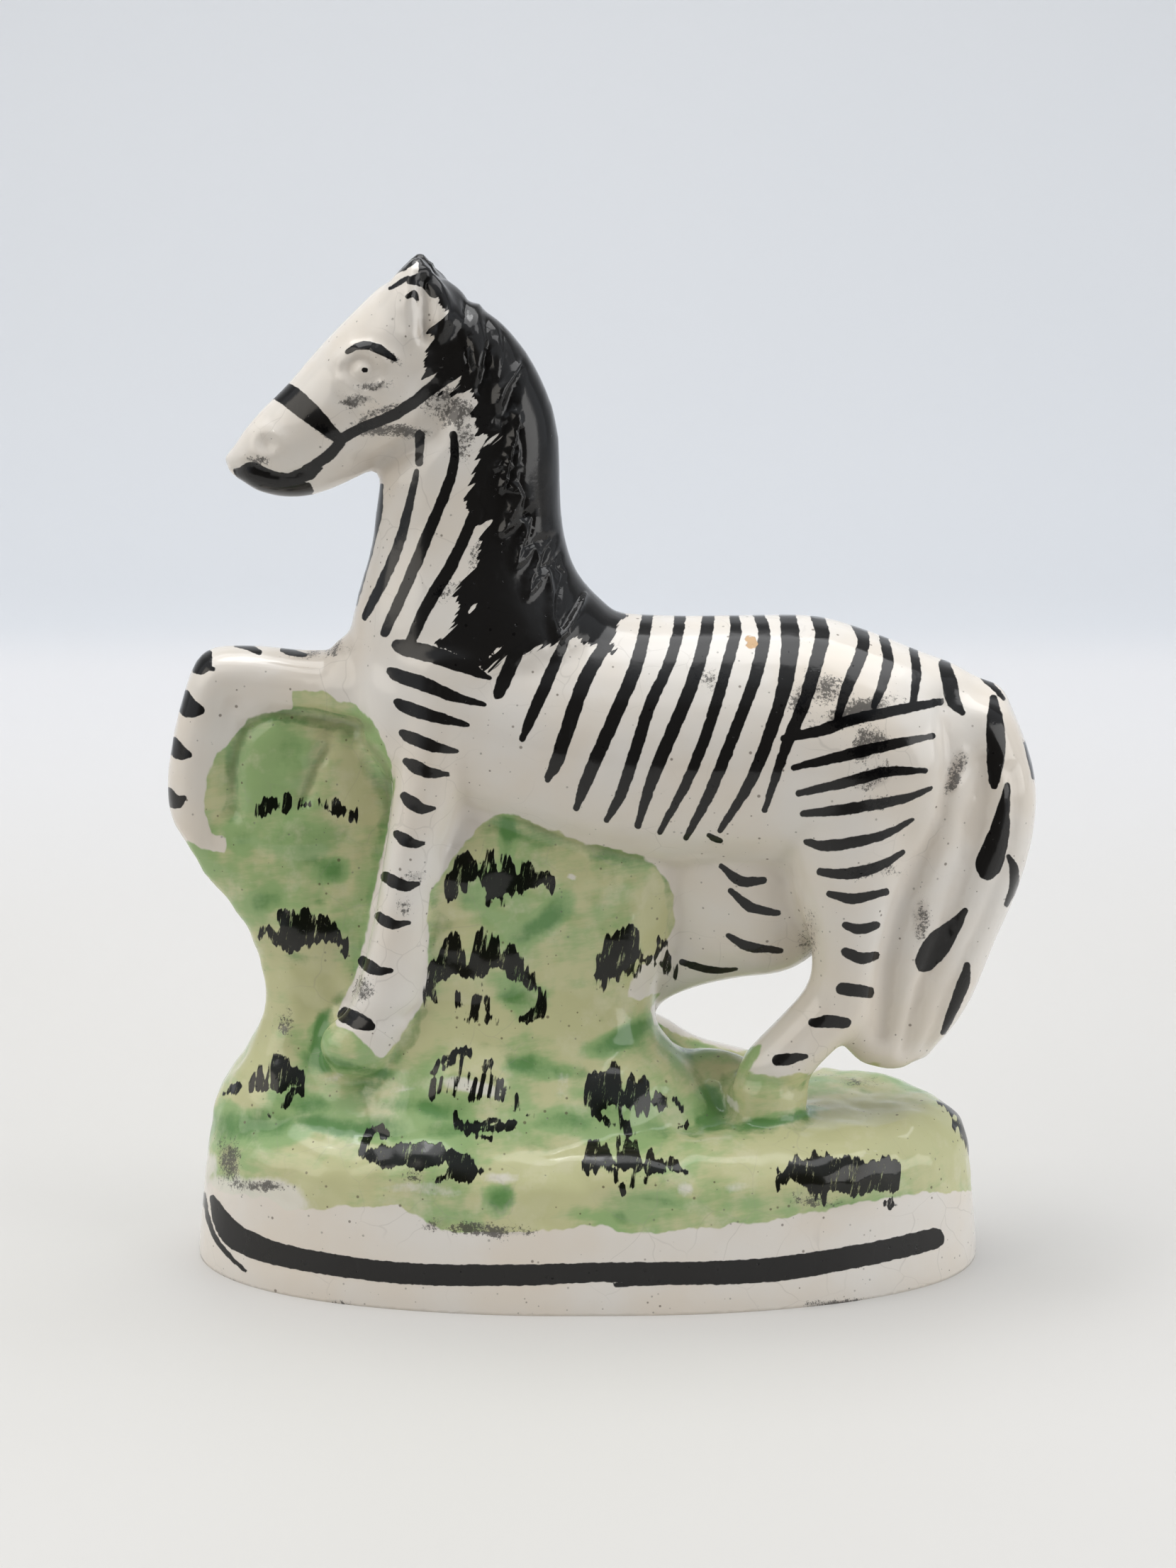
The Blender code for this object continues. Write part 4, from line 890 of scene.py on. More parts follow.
# Bare cream and painted highlights
BARE_AND_GLINT_SHARE = 0.8
WASH_SHARE = 0.96
SPECK_SHARE = 0.7
PINHOLE_SHARE = 0.5
CRACK_SHARE = 0.22
VEIL_NOISE_SHARE = 0.9
STIPPLE_DRIFT_SHARE = 0.5
SOIL_IN_STIPPLE = 0.33
ENAMEL_SHARE = 0.985

# Gloss, and the heights that the bump raises, in its depth
GLAZE_ROUGHNESS_RANGE = (0.10, 0.17)
GRIME_DULLS = 0.2
CHIP_DULLS = 0.7
GLAZE_IOR = 1.42
COAT_WEIGHT = 0.12
COAT_ROUGHNESS = 0.04
COAT_IOR = 1.5
SLOW_SKIN_HEIGHT = 0.6
FINE_SKIN_HEIGHT = 0.10
PINHOLE_DEPTH = 0.25
CHIP_DEPTH = 0.9
ENAMEL_HEIGHT = 0.14
BUMP_STRENGTH = 0.4
BUMP_DEPTH = 0.0004

# The studio, bright but for the dark room behind the camera
TABLE_FRONT = -0.24
TABLE_COOLS = 0.08
WALL_STARTS = 0.44
WALL_CHANGE = (WALL_STARTS - 0.06, WALL_STARTS + 0.02)
WALL_AT = 0.80
SWEEP_RADIUS = 0.30
SWEEP_STEPS = 24
WALL_TOP = 1.6
TABLE_HALF_WIDTH = 2.0
TABLE_WARM = (0.63, 0.615, 0.59, 1.0)
TABLE_COOL = (0.73, 0.73, 0.745, 1.0)
WALL_BLUE = (0.665, 0.685, 0.715, 1.0)
TABLE_NOISE = (9.0, 4.0)
TABLE_PATCHES = (0.3, 0.7, 0.0, 0.06)
TABLE_ROUGHNESS = 0.55
ROOM_COLOUR = (0.86, 0.92, 1.0, 1.0)
ROOM_DARK = (0.035, 0.035, 0.038, 1.0)
ROOM_CHANGE = (-0.85, -0.45)
ROOM_STRENGTH = 0.55
# Each: name, place, target, width, depth, power in watts, colour
SOFT_LIGHTS = [
    ("overhead", (0.0, 0.11, 0.90), (0.0, 0.0, 0.0), 1.2, 0.7, 7.0, (1.0, 1.0, 1.0)),
    ("window", (-0.15, 0.10, 0.85), (0.0, 0.0, 0.05), 0.30, 0.16, 0.9, (1.0, 1.0, 1.0)),
    ("warm key", (-0.95, -0.40, 0.55), (0.0, 0.0, 0.06), 0.9, 0.7, 3.7, (1.0, 0.92, 0.80)),
    ("right fill", (0.90, -0.42, 0.28), (0.0, 0.0, 0.06), 0.8, 0.5, 3.2, (1.0, 0.98, 0.95)),
]


def smooth_rows(rows, per_span):
    """Rows of numbers drawn through by a Catmull-Rom curve, with per_span steps between two rows."""
    table = np.array(rows, float)
    padded = np.vstack([2 * table[0] - table[1], table, 2 * table[-1] - table[-2]])
    drawn = []
    for i in range(len(table) - 1):
        a, b, c, d = padded[i : i + 4]
        for step in range(per_span):
            t = step / per_span
            slope = (c - a) * t
            bend = (2 * a - 5 * b + 4 * c - d) * t**2
            twist = (3 * b - a - 3 * c + d) * t**3
            drawn.append(b + 0.5 * (slope + bend + twist))
    drawn.append(table[-1])
    return np.array(drawn)


def oval_ring(edge_a, edge_b, off_centre, half_thick, boxy, slimmer):
    """Points round an oval whose long axis is edge_a to edge_b.

    A boxy oval has flatter sides, and slimmer takes thickness from edge_b's end for edge_a's.
    """
    turn = np.linspace(0, 2 * math.pi, RING_SIDES, endpoint=False)
    power = 1 - boxy
    along = -np.sign(np.cos(turn)) * np.abs(np.cos(turn)) ** power
    aside = np.sign(np.sin(turn)) * np.abs(np.sin(turn)) ** power
    middle, half = (edge_a + edge_b) / 2, (edge_b - edge_a) / 2
    ring = np.zeros((RING_SIDES, 3))
    ring[:, 0] = middle[0] + half[0] * along
    ring[:, 2] = middle[1] + half[1] * along
    ring[:, 1] = off_centre + half_thick * aside * (1 - slimmer * along)
    return ring


def domed(rings):
    """The rings with two smaller ones past each end, so that the limb ends round."""
    for end, inner in ((0, 1), (-1, -2)):
        last = rings[end]
        middle = last.mean(axis=0)
        way = middle - rings[inner].mean(axis=0)
        way /= np.linalg.norm(way)
        reach = DOME_REACH * np.linalg.norm(last - middle, axis=1).min()
        caps = []
        for lean in np.radians(DOME_LEANS):
            caps.append(middle + (last - middle) * math.cos(lean) + way * reach * math.sin(lean))
        rings = caps[::-1] + rings if end == 0 else rings + caps
    return rings


def in_metres(points):
    """Figure shares as metres in the part's frame."""
    return points * [UNIT, ACROSS, UNIT] + [0, 0, GROUND]


def add_loft(clay, rings):
    """Adds the closed skin through the rings to the clay."""
    made = [[clay.verts.new(point) for point in ring] for ring in rings]
    faces = []
    for low, high in zip(made, made[1:]):
        for i in range(len(low)):
            j = (i + 1) % len(low)
            faces.append(clay.faces.new((low[i], low[j], high[j], high[i])))
    faces.append(clay.faces.new(made[0][::-1]))
    faces.append(clay.faces.new(made[-1]))
    bmesh.ops.recalc_face_normals(clay, faces=faces)


def add_limb(clay, sections, boxy=0.0, slimmer=0.0, side=1.0):
    """A limb of the figure from its table. side -1 puts it on the other side of the animal."""
    rings = []
    for ax, az, bx, bz, off_centre, half_thick in smooth_rows(sections, RINGS_PER_SPAN):
        edge_a, edge_b = np.array([ax, az]), np.array([bx, bz])
        rings.append(oval_ring(edge_a, edge_b, side * off_centre, half_thick, boxy, slimmer))
    add_loft(clay, [in_metres(ring) for ring in domed(rings)])


def add_egg(clay, x, y, z, radius_x, radius_y, radius_z):
    """An egg of clay, such as a hoof."""
    made = bmesh.ops.create_uvsphere(clay, u_segments=EGG_SEGMENTS, v_segments=EGG_RINGS, radius=1.0)
    shape = np.array([vertex.co for vertex in made["verts"]])
    shape = in_metres(shape * [radius_x, radius_y, radius_z] + [x, y, z])
    for vertex, point in zip(made["verts"], shape):
        vertex.co = point


def oval_outline(inset, height):
    """A level ring of the plinth's outline, a slightly squared oval, drawn in by inset."""
    turn = np.linspace(0, 2 * math.pi, OVAL_POINTS, endpoint=False)
    power = 2 / OVAL_POWER
    ring = np.zeros((len(turn), 3))
    ring[:, 0] = (PLINTH_LENGTH / 2 - inset) * np.sign(np.cos(turn)) * np.abs(np.cos(turn)) ** power
    ring[:, 1] = (PLINTH_DEPTH / 2 - inset) * np.sign(np.sin(turn)) * np.abs(np.sin(turn)) ** power
    ring[:, 2] = height
    return ring


def add_plinth(clay):
    """The oval plinth, its foot a little wider than its top, and the rounded mound on it."""
    low_edge, high_edge = PLINTH_EDGE_LEVELS
    rings = [
        oval_outline(0, -SKIRT_BELOW_TABLE),
        oval_outline(0, low_edge * PLINTH_HEIGHT),
        oval_outline(PLINTH_FLARE, high_edge * PLINTH_HEIGHT),
    ]
    edge = PLINTH_FLARE + MOUND_SETBACK
    rounding = min(MOUND_ROUNDING, MOUND_ROUNDING_LIMIT * MOUND_RISE)
    for lean in np.radians(np.linspace(0, 90, ROUNDING_STEPS)):
        inset = edge + rounding * (1 - math.cos(lean))
        height = GROUND - rounding * (1 - math.sin(lean))
        rings.append(oval_outline(inset, height))
    add_loft(clay, rings)


def mould_clay():
    """Every limb, leaf and bank as overlapping closed shapes in one mesh."""
    clay = bmesh.new()
    add_plinth(clay)
    for limb in LIMBS:
        add_limb(clay, limb)
    for side in BOTH_SIDES:
        add_limb(clay, EAR, side=side)
    for limb, boxy, slimmer in WEBS_AND_BANKS:
        add_limb(clay, limb, boxy, slimmer)
    for egg in (HOOF_OF_FORELEG, CORNER_BANK):
        add_egg(clay, *egg)
    mesh = bpy.data.meshes.new("zebra_figurine")
    clay.to_mesh(mesh)
    clay.free()
    return mesh


def baked(figure):
    """Applies the figure's modifiers."""
    bpy.context.view_layer.update()
    graph = bpy.context.evaluated_depsgraph_get()
    mesh = bpy.data.meshes.new_from_object(figure.evaluated_get(graph))
    figure.modifiers.clear()
    figure.data = mesh


def run_together(figure):
    """Joins the shapes into one skin and softens it, as slip and glaze do."""
    skin = figure.modifiers.new("one skin", "REMESH")
    skin.mode = "VOXEL"
    skin.voxel_size = CLAY_GRAIN
    soft = figure.modifiers.new("softened", "SMOOTH")
    soft.factor = SOFTENING
    soft.iterations = SOFTENING_PASSES
    baked(figure)


def smoothstep(low, high, value):
    """From 0 to 1 as the value goes from low to high, eased at both ends."""
    t = np.clip((value - low) / (high - low), 0, 1)
    return t * t * (3 - 2 * t)


def distance_to_path(spots, path):
    """How far each spot is from the path."""
    nearest = np.full(len(spots), np.inf)
    for start, end in zip(np.array(path[:-1], float), np.array(path[1:], float)):
        way = end - start
        share = np.clip((spots - start) @ way / (way @ way), 0, 1)
        gap = np.linalg.norm(spots - start - share[:, None] * way, axis=1)
        nearest = np.minimum(nearest, gap)
    return nearest


def inside_outline(spots, outline):
    """Which spots the closed outline goes round, by counting the sides crossed."""
    inside = np.zeros(len(spots), bool)
    for (ax, az), (bx, bz) in zip(outline, outline[1:] + outline[:1]):
        between = (spots[:, 1] < az) != (spots[:, 1] < bz)
        with np.errstate(divide="ignore", invalid="ignore"):
            crossing = ax + (spots[:, 1] - az) / (bz - az) * (bx - ax)
        inside ^= between & (spots[:, 0] < crossing)
    return inside


def depth_in_patch(spots, outline):
    """How far inside the closed outline each spot is, and below nothing outside it."""
    gap = distance_to_path(spots, outline + outline[:1])
    return np.where(inside_outline(spots, outline), gap, -gap)


def in_shares(points):
    """Each point's (x, z) in the figure's own shares."""
    return (points[:, [0, 2]] - [0, GROUND]) / UNIT


def relief_rise(points, normals):
    """How far the relief lifts each point along its normal, in shares."""
    spots = in_shares(points)
    in_mane = smoothstep(-MANE_EDGE, MANE_EDGE, depth_in_patch(spots, MANE_LOCKS))
    rise = MANE_RISE * in_mane * smoothstep(*MANE_FOOT, spots[:, 1])
    facing = {side: smoothstep(*FACING, side * normals[:, 1]) for side in BOTH_SIDES}
    for sides, half_width, height, path in LINES:
        shape = np.exp(-((distance_to_path(spots, path) / half_width) ** 2))
        for side in sides:
            rise += height * shape * facing[side]
    for sides, middle, half_length, half_height, height in SPOTS:
        reach = np.linalg.norm((spots - middle) / [half_length, half_height], axis=1)
        for side in sides:
            rise += height * smoothstep(*SPOT_FADE, reach) * facing[side]
    return rise


def cut_flat(figure):
    """Cuts the plinth off level at the table and closes its underside."""
    clay = bmesh.new()
    clay.from_mesh(figure.data)
    everything = clay.verts[:] + clay.edges[:] + clay.faces[:]
    table = {"plane_co": (0, 0, 0), "plane_no": (0, 0, 1)}
    cut = bmesh.ops.bisect_plane(clay, geom=everything, clear_inner=True, **table)
    rim = [edge for edge in cut["geom_cut"] if isinstance(edge, bmesh.types.BMEdge)]
    bmesh.ops.contextual_create(clay, geom=rim)
    bmesh.ops.triangulate(clay, faces=clay.faces[:])
    bmesh.ops.recalc_face_normals(clay, faces=clay.faces[:])
    clay.to_mesh(figure.data)
    clay.free()


def lumps(points, size, seed):
    """Smooth noise between about -1 and 1 over points in metres, with features of the given size."""
    shift = Vector((seed, 2 * seed, 3 * seed))
    return np.array([noise.noise(Vector(point) / size + shift) for point in points])


def read_skin(mesh):
    """The mesh's vertex places and normals."""
    points = np.empty(len(mesh.vertices) * 3)
    normals = np.empty(len(mesh.vertices) * 3)
    mesh.vertices.foreach_get("co", points)
    mesh.vertex_normals.foreach_get("vector", normals)
    return points.reshape(-1, 3), normals.reshape(-1, 3)


def seen_at(points):
    """Where the picture's camera sees each point, in pixels of the picture."""
    dip = math.radians(CAMERA_DIP)
    reach = points - CAMERA_PLACE
    depth = reach @ [0, math.cos(dip), -math.sin(dip)]
    across = FOCAL_PIXELS * reach[:, 0] / depth
    down = -FOCAL_PIXELS * (reach @ [0, math.sin(dip), math.cos(dip)]) / depth
    return np.column_stack([across, down]) + PICTURE_MIDDLE


def turned_to_picture(points, normals):
    """How squarely each point faces the picture's camera, from -1 to 1."""
    way = CAMERA_PLACE - points
    way /= np.linalg.norm(way, axis=1)[:, None]
    return (normals * way).sum(axis=1)


def close_to(spots, outline, margin):
    """Which spots lie in the outline's box, widened by a margin."""
    corners = np.array(outline, float)[:, :2]
    low, high = corners.min(axis=0) - margin, corners.max(axis=0) + margin
    return np.all((spots > low) & (spots < high), axis=1)


def depth_in_stroke(spots, stroke):
    """How many pixels inside the brush stroke each spot is, and below nothing outside it."""
    deepest = np.full(len(spots), -np.inf)
    stroke = smooth_rows(stroke, STROKE_SMOOTHING)
    for start, end in zip(stroke, stroke[1:]):
        a, b = np.array(start[:2], float), np.array(end[:2], float)
        way = b - a
        share = np.clip((spots - a) @ way / max(way @ way, 1.0), 0, 1)
        gap = np.linalg.norm(spots - a - share[:, None] * way, axis=1)
        half = (start[2] + (end[2] - start[2]) * share) / 2
        deepest = np.maximum(deepest, half - gap)
    return deepest


def lay_on(depth, spots, marks, measure, swell=0.0):
    """Adds brush marks to a depth field, keeping the deepest at each spot."""
    for mark in marks:
        near = close_to(spots, mark, PAINT_REACH)
        if near.any():
            depth[near] = np.maximum(depth[near], measure(spots[near], mark) + swell)


def lay_all(spots, strokes, patches, swell=0.0):
    """The depth field of a whole set of strokes and patches."""
    depth = np.full(len(spots), -PAINT_REACH)
    lay_on(depth, spots, strokes, depth_in_stroke, swell)
    lay_on(depth, spots, patches, depth_in_patch, swell)
    return np.clip(depth, -PAINT_REACH, PAINT_REACH)


def soft_patches(spots, patches):
    """How strongly the leaning soft patches cover each spot, from 0 to 1."""
    cover = np.zeros(len(spots))
    for x, y, half_length, half_height, lean, strength in patches:
        angle = math.radians(lean)
        away = spots - [x, y]
        along = (away[:, 0] * math.cos(angle) + away[:, 1] * math.sin(angle)) / half_length
        aside = (away[:, 1] * math.cos(angle) - away[:, 0] * math.sin(angle)) / half_height
        reach = np.hypot(along, aside)
        cover = np.maximum(cover, strength * smoothstep(*PATCH_FADE, reach))
    return cover


def wander(along, other, long_wave, start, short_wave):
    """A long wave of the hand and a short one."""
    slow = HAND_WANDER * np.sin(along / long_wave + start)
    return slow + 0.5 * HAND_WANDER * np.sin(other / short_wave)


def wobbled(spots):
    """The far side's marks are the near side's drawn by the same hand again, so they wander."""
    across, down = spots.T
    shift_x = wander(down, across, *WANDER_ACROSS)
    shift_y = wander(across, down, *WANDER_DOWN)
    return spots + np.column_stack([shift_x, shift_y])


def drifted(points, spots):
    """The spots moved about by slow noise, which gives soft patches a hand-made outline."""
    drift = [lumps(points, SOFT_WANDER_SIZE, seed) for seed in SOFT_WANDER_SEEDS]
    return spots + SOFT_WANDER * np.column_stack(drift)


def mane_depth(spots):
    """The mane's black, less the gaps that the brush left."""
    mane = lay_all(spots, [], [MANE_PATCH])
    return np.minimum(mane, -lay_all(spots, GAPS, []))


def fine_line_gap(spots):
    """How far each spot is from the nearest fine line, below nothing, as outside a mark."""
    gaps = [distance_to_path(spots, path) for _, _, path in FINE_LINES]
    return -np.min(gaps, axis=0)


def near_paint(points):
    """Every painted mark that the picture shows."""
    spots = seen_at(points)
    loose = drifted(points, spots)
    ink = lay_all(spots, BODY_STROKES + RAISED_LEG_STROKES + BAND_STROKES, [], STROKE_SWELL)
    thin = lay_all(spots, BRIDLE_STROKES + EAR_STROKES, [MUZZLE_PATCH], THIN_SWELL)
    return {
        "ink": np.maximum(ink, thin),
        "tuft": lay_all(spots, GRASS_STROKES, GRASS_PATCHES, TUFT_SWELL),
        "mane": mane_depth(spots),
        "ridge": fine_line_gap(spots),
        "green": lay_all(spots, [], [GREEN_WASH]),
        "pool": soft_patches(loose, GREEN_POOLS),
        # Painted shadow along the grooves and under the belly
        "fold_shadow": smoothstep(*GROOVE_SHADOW_FADE, lay_all(spots, GROOVE_SHADOWS, [])),
        "yellow": soft_patches(loose, YELLOW_PATCHES),
        # Smudges, and painted shade under the brow
        "smudge_and_brow_shade": soft_patches(loose, SMUDGES_AND_BROW_SHADE),
        "dirt": soft_patches(loose, DIRT),
        # Bare cream, and painted highlights
        "bare_and_glint": soft_patches(loose, BARE_AND_GLINT_PATCHES),
        "chip": lay_all(spots, CHIPS, []),
    }


def far_paint(points):
    """The plainer side: the same bands, bridle and mane, a few tufts, and the green."""
    spots = wobbled(seen_at(points))
    loose = drifted(points, spots)
    strokes = BODY_STROKES + BAND_STROKES[:1] + BRIDLE_STROKES
    nothing = np.zeros(len(spots))
    return {
        "ink": lay_all(spots, strokes, [MUZZLE_PATCH], STROKE_SWELL),
        "tuft": lay_all(spots, EAR_STROKES[2:], GRASS_PATCHES[::FAR_TUFT_STEP]),
        "mane": lay_all(spots, [], [MANE_PATCH]),
        "ridge": nothing,
        "green": lay_all(spots, [], [GREEN_WASH]),
        "pool": soft_patches(loose, GREEN_POOLS[::FAR_POOL_STEP]),
        "fold_shadow": nothing,
        "yellow": soft_patches(loose, YELLOW_PATCHES),
        "smudge_and_brow_shade": nothing,
        "dirt": nothing,
        "bare_and_glint": nothing,
        "chip": nothing - PAINT_REACH,
    }


def hollows(mesh, points, normals):
    """How deep each vertex lies below its neighbours, as a share of the deepest, smoothed."""
    edges = np.empty(len(mesh.edges) * 2, int)
    mesh.edges.foreach_get("vertices", edges)
    a, b = edges.reshape(-1, 2).T
    count = np.bincount(a, minlength=len(points)) + np.bincount(b, minlength=len(points))

    def around(values):
        total = np.bincount(a, values[b], len(points)) + np.bincount(b, values[a], len(points))
        return total / np.maximum(count, 1)

    middle = np.column_stack([around(points[:, i]) for i in range(3)])
    dip = ((middle - points) * normals).sum(axis=1)
    for _ in range(HOLLOW_SMOOTHING):
        dip = (dip + around(dip)) / 2
    return np.clip(dip / HOLLOW_DEPTH, -1, 1)


def finer_relief(points, normals):
    """The hand-made unevenness of the glaze, the leaves' lumps, the mane's hairs and fine lines."""
    rise = WAVE_HEIGHT * lumps(points, WAVE_SIZE, WAVE_SEED)
    leafy = smoothstep(*LEAF_FADE, lay_all(seen_at(points), [], [GREEN_WASH]))
    rise += leafy * LEAF_HEIGHT * lumps(points * LEAF_STRETCH, LEAF_SIZE, LEAF_SEED)
    small_leaves = lumps(points, SMALL_LEAF_SIZE, SMALL_LEAF_SEED)
    rise += leafy * SMALL_LEAF_SHARE * LEAF_HEIGHT * small_leaves
    in_mane = smoothstep(*HAIR_FADE, depth_in_patch(in_shares(points), MANE_LOCKS))
    x, y, z = points.T
    hair_places = np.column_stack([x + HAIR_LEAN * z, y, HAIR_STRETCH * z])
    rise += in_mane * HAIR_HEIGHT * lumps(hair_places, HAIR_SIZE, HAIR_SEED)
    mirrored = np.where(normals[:, 1:2] > 0, points * [1, -1, 1], points)
    own_spots = seen_at(mirrored)
    side = smoothstep(*FACING, np.abs(normals[:, 1]))
    for half_width, height, path in FINE_LINES:
        rise += height * side * np.exp(-((distance_to_path(own_spots, path) / half_width) ** 2))
    return rise


def split_near_marks(figure, reach):
    """Splits the near side's edges that lie within so many pixels of the edge of a crisp mark."""
    points, normals = read_skin(figure.data)
    paint = near_paint(points)
    closest = np.min([np.abs(paint[name]) for name in CRISP_MARKS], axis=0)
    chosen = (closest < reach) & (turned_to_picture(points, normals) > SPLIT_FACING)
    clay = bmesh.new()
    clay.from_mesh(figure.data)
    edges = [edge for edge in clay.edges if all(chosen[vertex.index] for vertex in edge.verts)]
    bmesh.ops.subdivide_edges(clay, edges=edges, cuts=1, use_grid_fill=True)
    bmesh.ops.triangulate(clay, faces=clay.faces[:])
    clay.to_mesh(figure.data)
    clay.free()


def split_skin(figure):
    """Gives crisp marks and fine lines a finer skin than the rest, and softens the splits."""
    for reach in SPLIT_REACHES:
        split_near_marks(figure, reach)
    soft = figure.modifiers.new("softened splits", "SMOOTH")
    soft.factor = SOFTENING
    soft.iterations = SPLIT_SOFTENING
    baked(figure)


def work_clay(figure):
    """Works the carved relief and the finer relief into the skin, and keeps it in the solid's box."""
    points, normals = read_skin(figure.data)
    raised = points + normals * relief_rise(points, normals)[:, None] * UNIT
    raised = raised + normals * finer_relief(points, normals)[:, None] * UNIT
    low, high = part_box("zebra_figurine")
    raised[:, :2] = np.clip(raised[:, :2], np.array(low)[:2], np.array(high)[:2])
    raised[:, 2] = np.minimum(raised[:, 2], high[2])
    figure.data.vertices.foreach_set("co", raised.ravel())
    figure.data.update()


def store(mesh, name, values):
    """Keeps a value for each vertex on the mesh, for the material to read."""
    attribute = mesh.attributes.new(name, "FLOAT", "POINT")
    attribute.data.foreach_set("value", values.astype(np.float32))


def brush_on(figure):
    """Stores every painted mark on the clay as attributes."""
    mesh = figure.data
    points, normals = read_skin(mesh)
    near = near_paint(points)
    far = far_paint(points * [1, -1, 1])
    share = smoothstep(*SIDE_CHANGE, turned_to_picture(points, normals))
    for name in near:
        values = share * near[name] + (1 - share) * far[name]
        store(mesh, name, values)
    # How deep each vertex lies in a hollow, for the painted shade in creases
    store(mesh, "hollow_shade", hollows(mesh, points, normals))


def stand(name, data):
    """A new object, put in the scene."""
    thing = bpy.data.objects.new(name, data)
    bpy.context.scene.collection.objects.link(thing)
    return thing


def raise_figure():
    """The whole zebra on its plinth, as one skin."""
    figure = stand("glazed_zebra", mould_clay())
    run_together(figure)
    split_skin(figure)
    work_clay(figure)
    cut_flat(figure)
    figure.data.materials.clear()
    figure.data.materials.append(painted_glaze())
    figure.data.shade_smooth()
    brush_on(figure)
    return figure


def joined(tree, source, target):
    """Links one socket to another."""
    tree.links.new(source, target)


def set_input(tree, node, name, value):
    """Sets a node's input to a value, or links it when the value is a socket."""
    if isinstance(value, bpy.types.NodeSocket):
        joined(tree, value, node.inputs[name])
    else:
        node.inputs[name].default_value = value


def maths(tree, operation, a, b, clamp=False):
    """One step of arithmetic on two numbers or sockets."""
    node = tree.nodes.new("ShaderNodeMath")
    node.operation = operation
    node.use_clamp = clamp
    set_input(tree, node, 0, a)
    set_input(tree, node, 1, b)
    return node.outputs[0]


def plus(tree, a, b, clamp=False):
    return maths(tree, "ADD", a, b, clamp)


def minus(tree, a, b, clamp=False):
    return maths(tree, "SUBTRACT", a, b, clamp)


def times(tree, a, b):
    return maths(tree, "MULTIPLY", a, b)


def ramp(tree, value, low, high, start=0.0, end=1.0):
    """A smooth step of the value from start to end between low and high."""
    node = tree.nodes.new("ShaderNodeMapRange")
    node.interpolation_type = "SMOOTHSTEP"
    set_input(tree, node, "Value", value)
    set_input(tree, node, "From Min", low)
    set_input(tree, node, "From Max", high)
    set_input(tree, node, "To Min", start)
    set_input(tree, node, "To Max", end)
    return node.outputs["Result"]


def mixed(tree, share, first, second):
    """One colour mixed over another by a share."""
    node = tree.nodes.new("ShaderNodeMix")
    node.data_type = "RGBA"
    set_input(tree, node, 0, share)
    set_input(tree, node, 6, first)
    set_input(tree, node, 7, second)
    return node.outputs[2]


def cloud(tree, vector, scale, detail=2.0, roughness=0.5):
    """Soft noise from 0 to 1."""
    node = tree.nodes.new("ShaderNodeTexNoise")
    set_input(tree, node, "Vector", vector)
    set_input(tree, node, "Scale", scale)
    set_input(tree, node, "Detail", detail)
    set_input(tree, node, "Roughness", roughness)
    return node.outputs["Fac"]


def stretched(tree, vector, scale, turn=(0.0, 0.0, 0.0)):
    """The vector scaled and turned, to draw noise out."""
    node = tree.nodes.new("ShaderNodeMapping")
    set_input(tree, node, "Vector", vector)
    node.inputs["Scale"].default_value = scale
    node.inputs["Rotation"].default_value = turn
    return node.outputs["Vector"]


def combed(tree, vector, lean, length):
    """The vector drawn out along a direction that leans in the picture's plane, for streaks."""
    node = tree.nodes.new("ShaderNodeMapping")
    node.vector_type = "TEXTURE"
    set_input(tree, node, "Vector", vector)
    node.inputs["Rotation"].default_value = (0.0, math.radians(lean), 0.0)
    node.inputs["Scale"].default_value = (1.0, length, length)
    return node.outputs["Vector"]


def stored(tree, name):
    """A value that the mesh keeps for each vertex."""
    node = tree.nodes.new("ShaderNodeAttribute")
    node.attribute_name = name
    return node.outputs["Fac"]


def new_paint(name):
    """A material, with its tree, its shader, and the place on the object."""
    material = bpy.data.materials.new(name)
    material.use_nodes = True
    tree = material.node_tree
    place = tree.nodes.new("ShaderNodeTexCoord").outputs["Object"]
    return material, tree, tree.nodes["Principled BSDF"], place


def new_group(name, *labels):
    """A node group that makes a mask from a place and numbers, with its inputs and its output."""
    group = bpy.data.node_groups.new(name, "ShaderNodeTree")
    group.interface.new_socket("Vector", in_out="INPUT", socket_type="NodeSocketVector")
    for label in labels:
        group.interface.new_socket(label, in_out="INPUT", socket_type="NodeSocketFloat")
    group.interface.new_socket("Mask", in_out="OUTPUT", socket_type="NodeSocketFloat")
    given = group.nodes.new("NodeGroupInput").outputs
    made = group.nodes.new("NodeGroupOutput").inputs["Mask"]
    return group, given, made


def placed(tree, group, **values):
    """A group placed in a tree, with underscores in the names standing for spaces."""
    node = tree.nodes.new("ShaderNodeGroup")
    node.node_tree = group
    for name, value in values.items():
        set_input(tree, node, name.replace("_", " "), value)
    return node.outputs["Mask"]


def brushed_edge():
    """A painted mark from its depth in pixels: its edge is broken by noise along the brush."""
    group, given, made = new_group("brushed edge", "Depth", "Noise Scale", "Break", "Softness")
    flecks = cloud(group, given["Vector"], given["Noise Scale"])
    shift = times(group, minus(group, flecks, NOISE_MIDDLE), given["Break"])
    depth = plus(group, given["Depth"], shift)
    low = times(group, given["Softness"], -1.0)
    joined(group, ramp(group, depth, low, given["Softness"]), made)
    return group


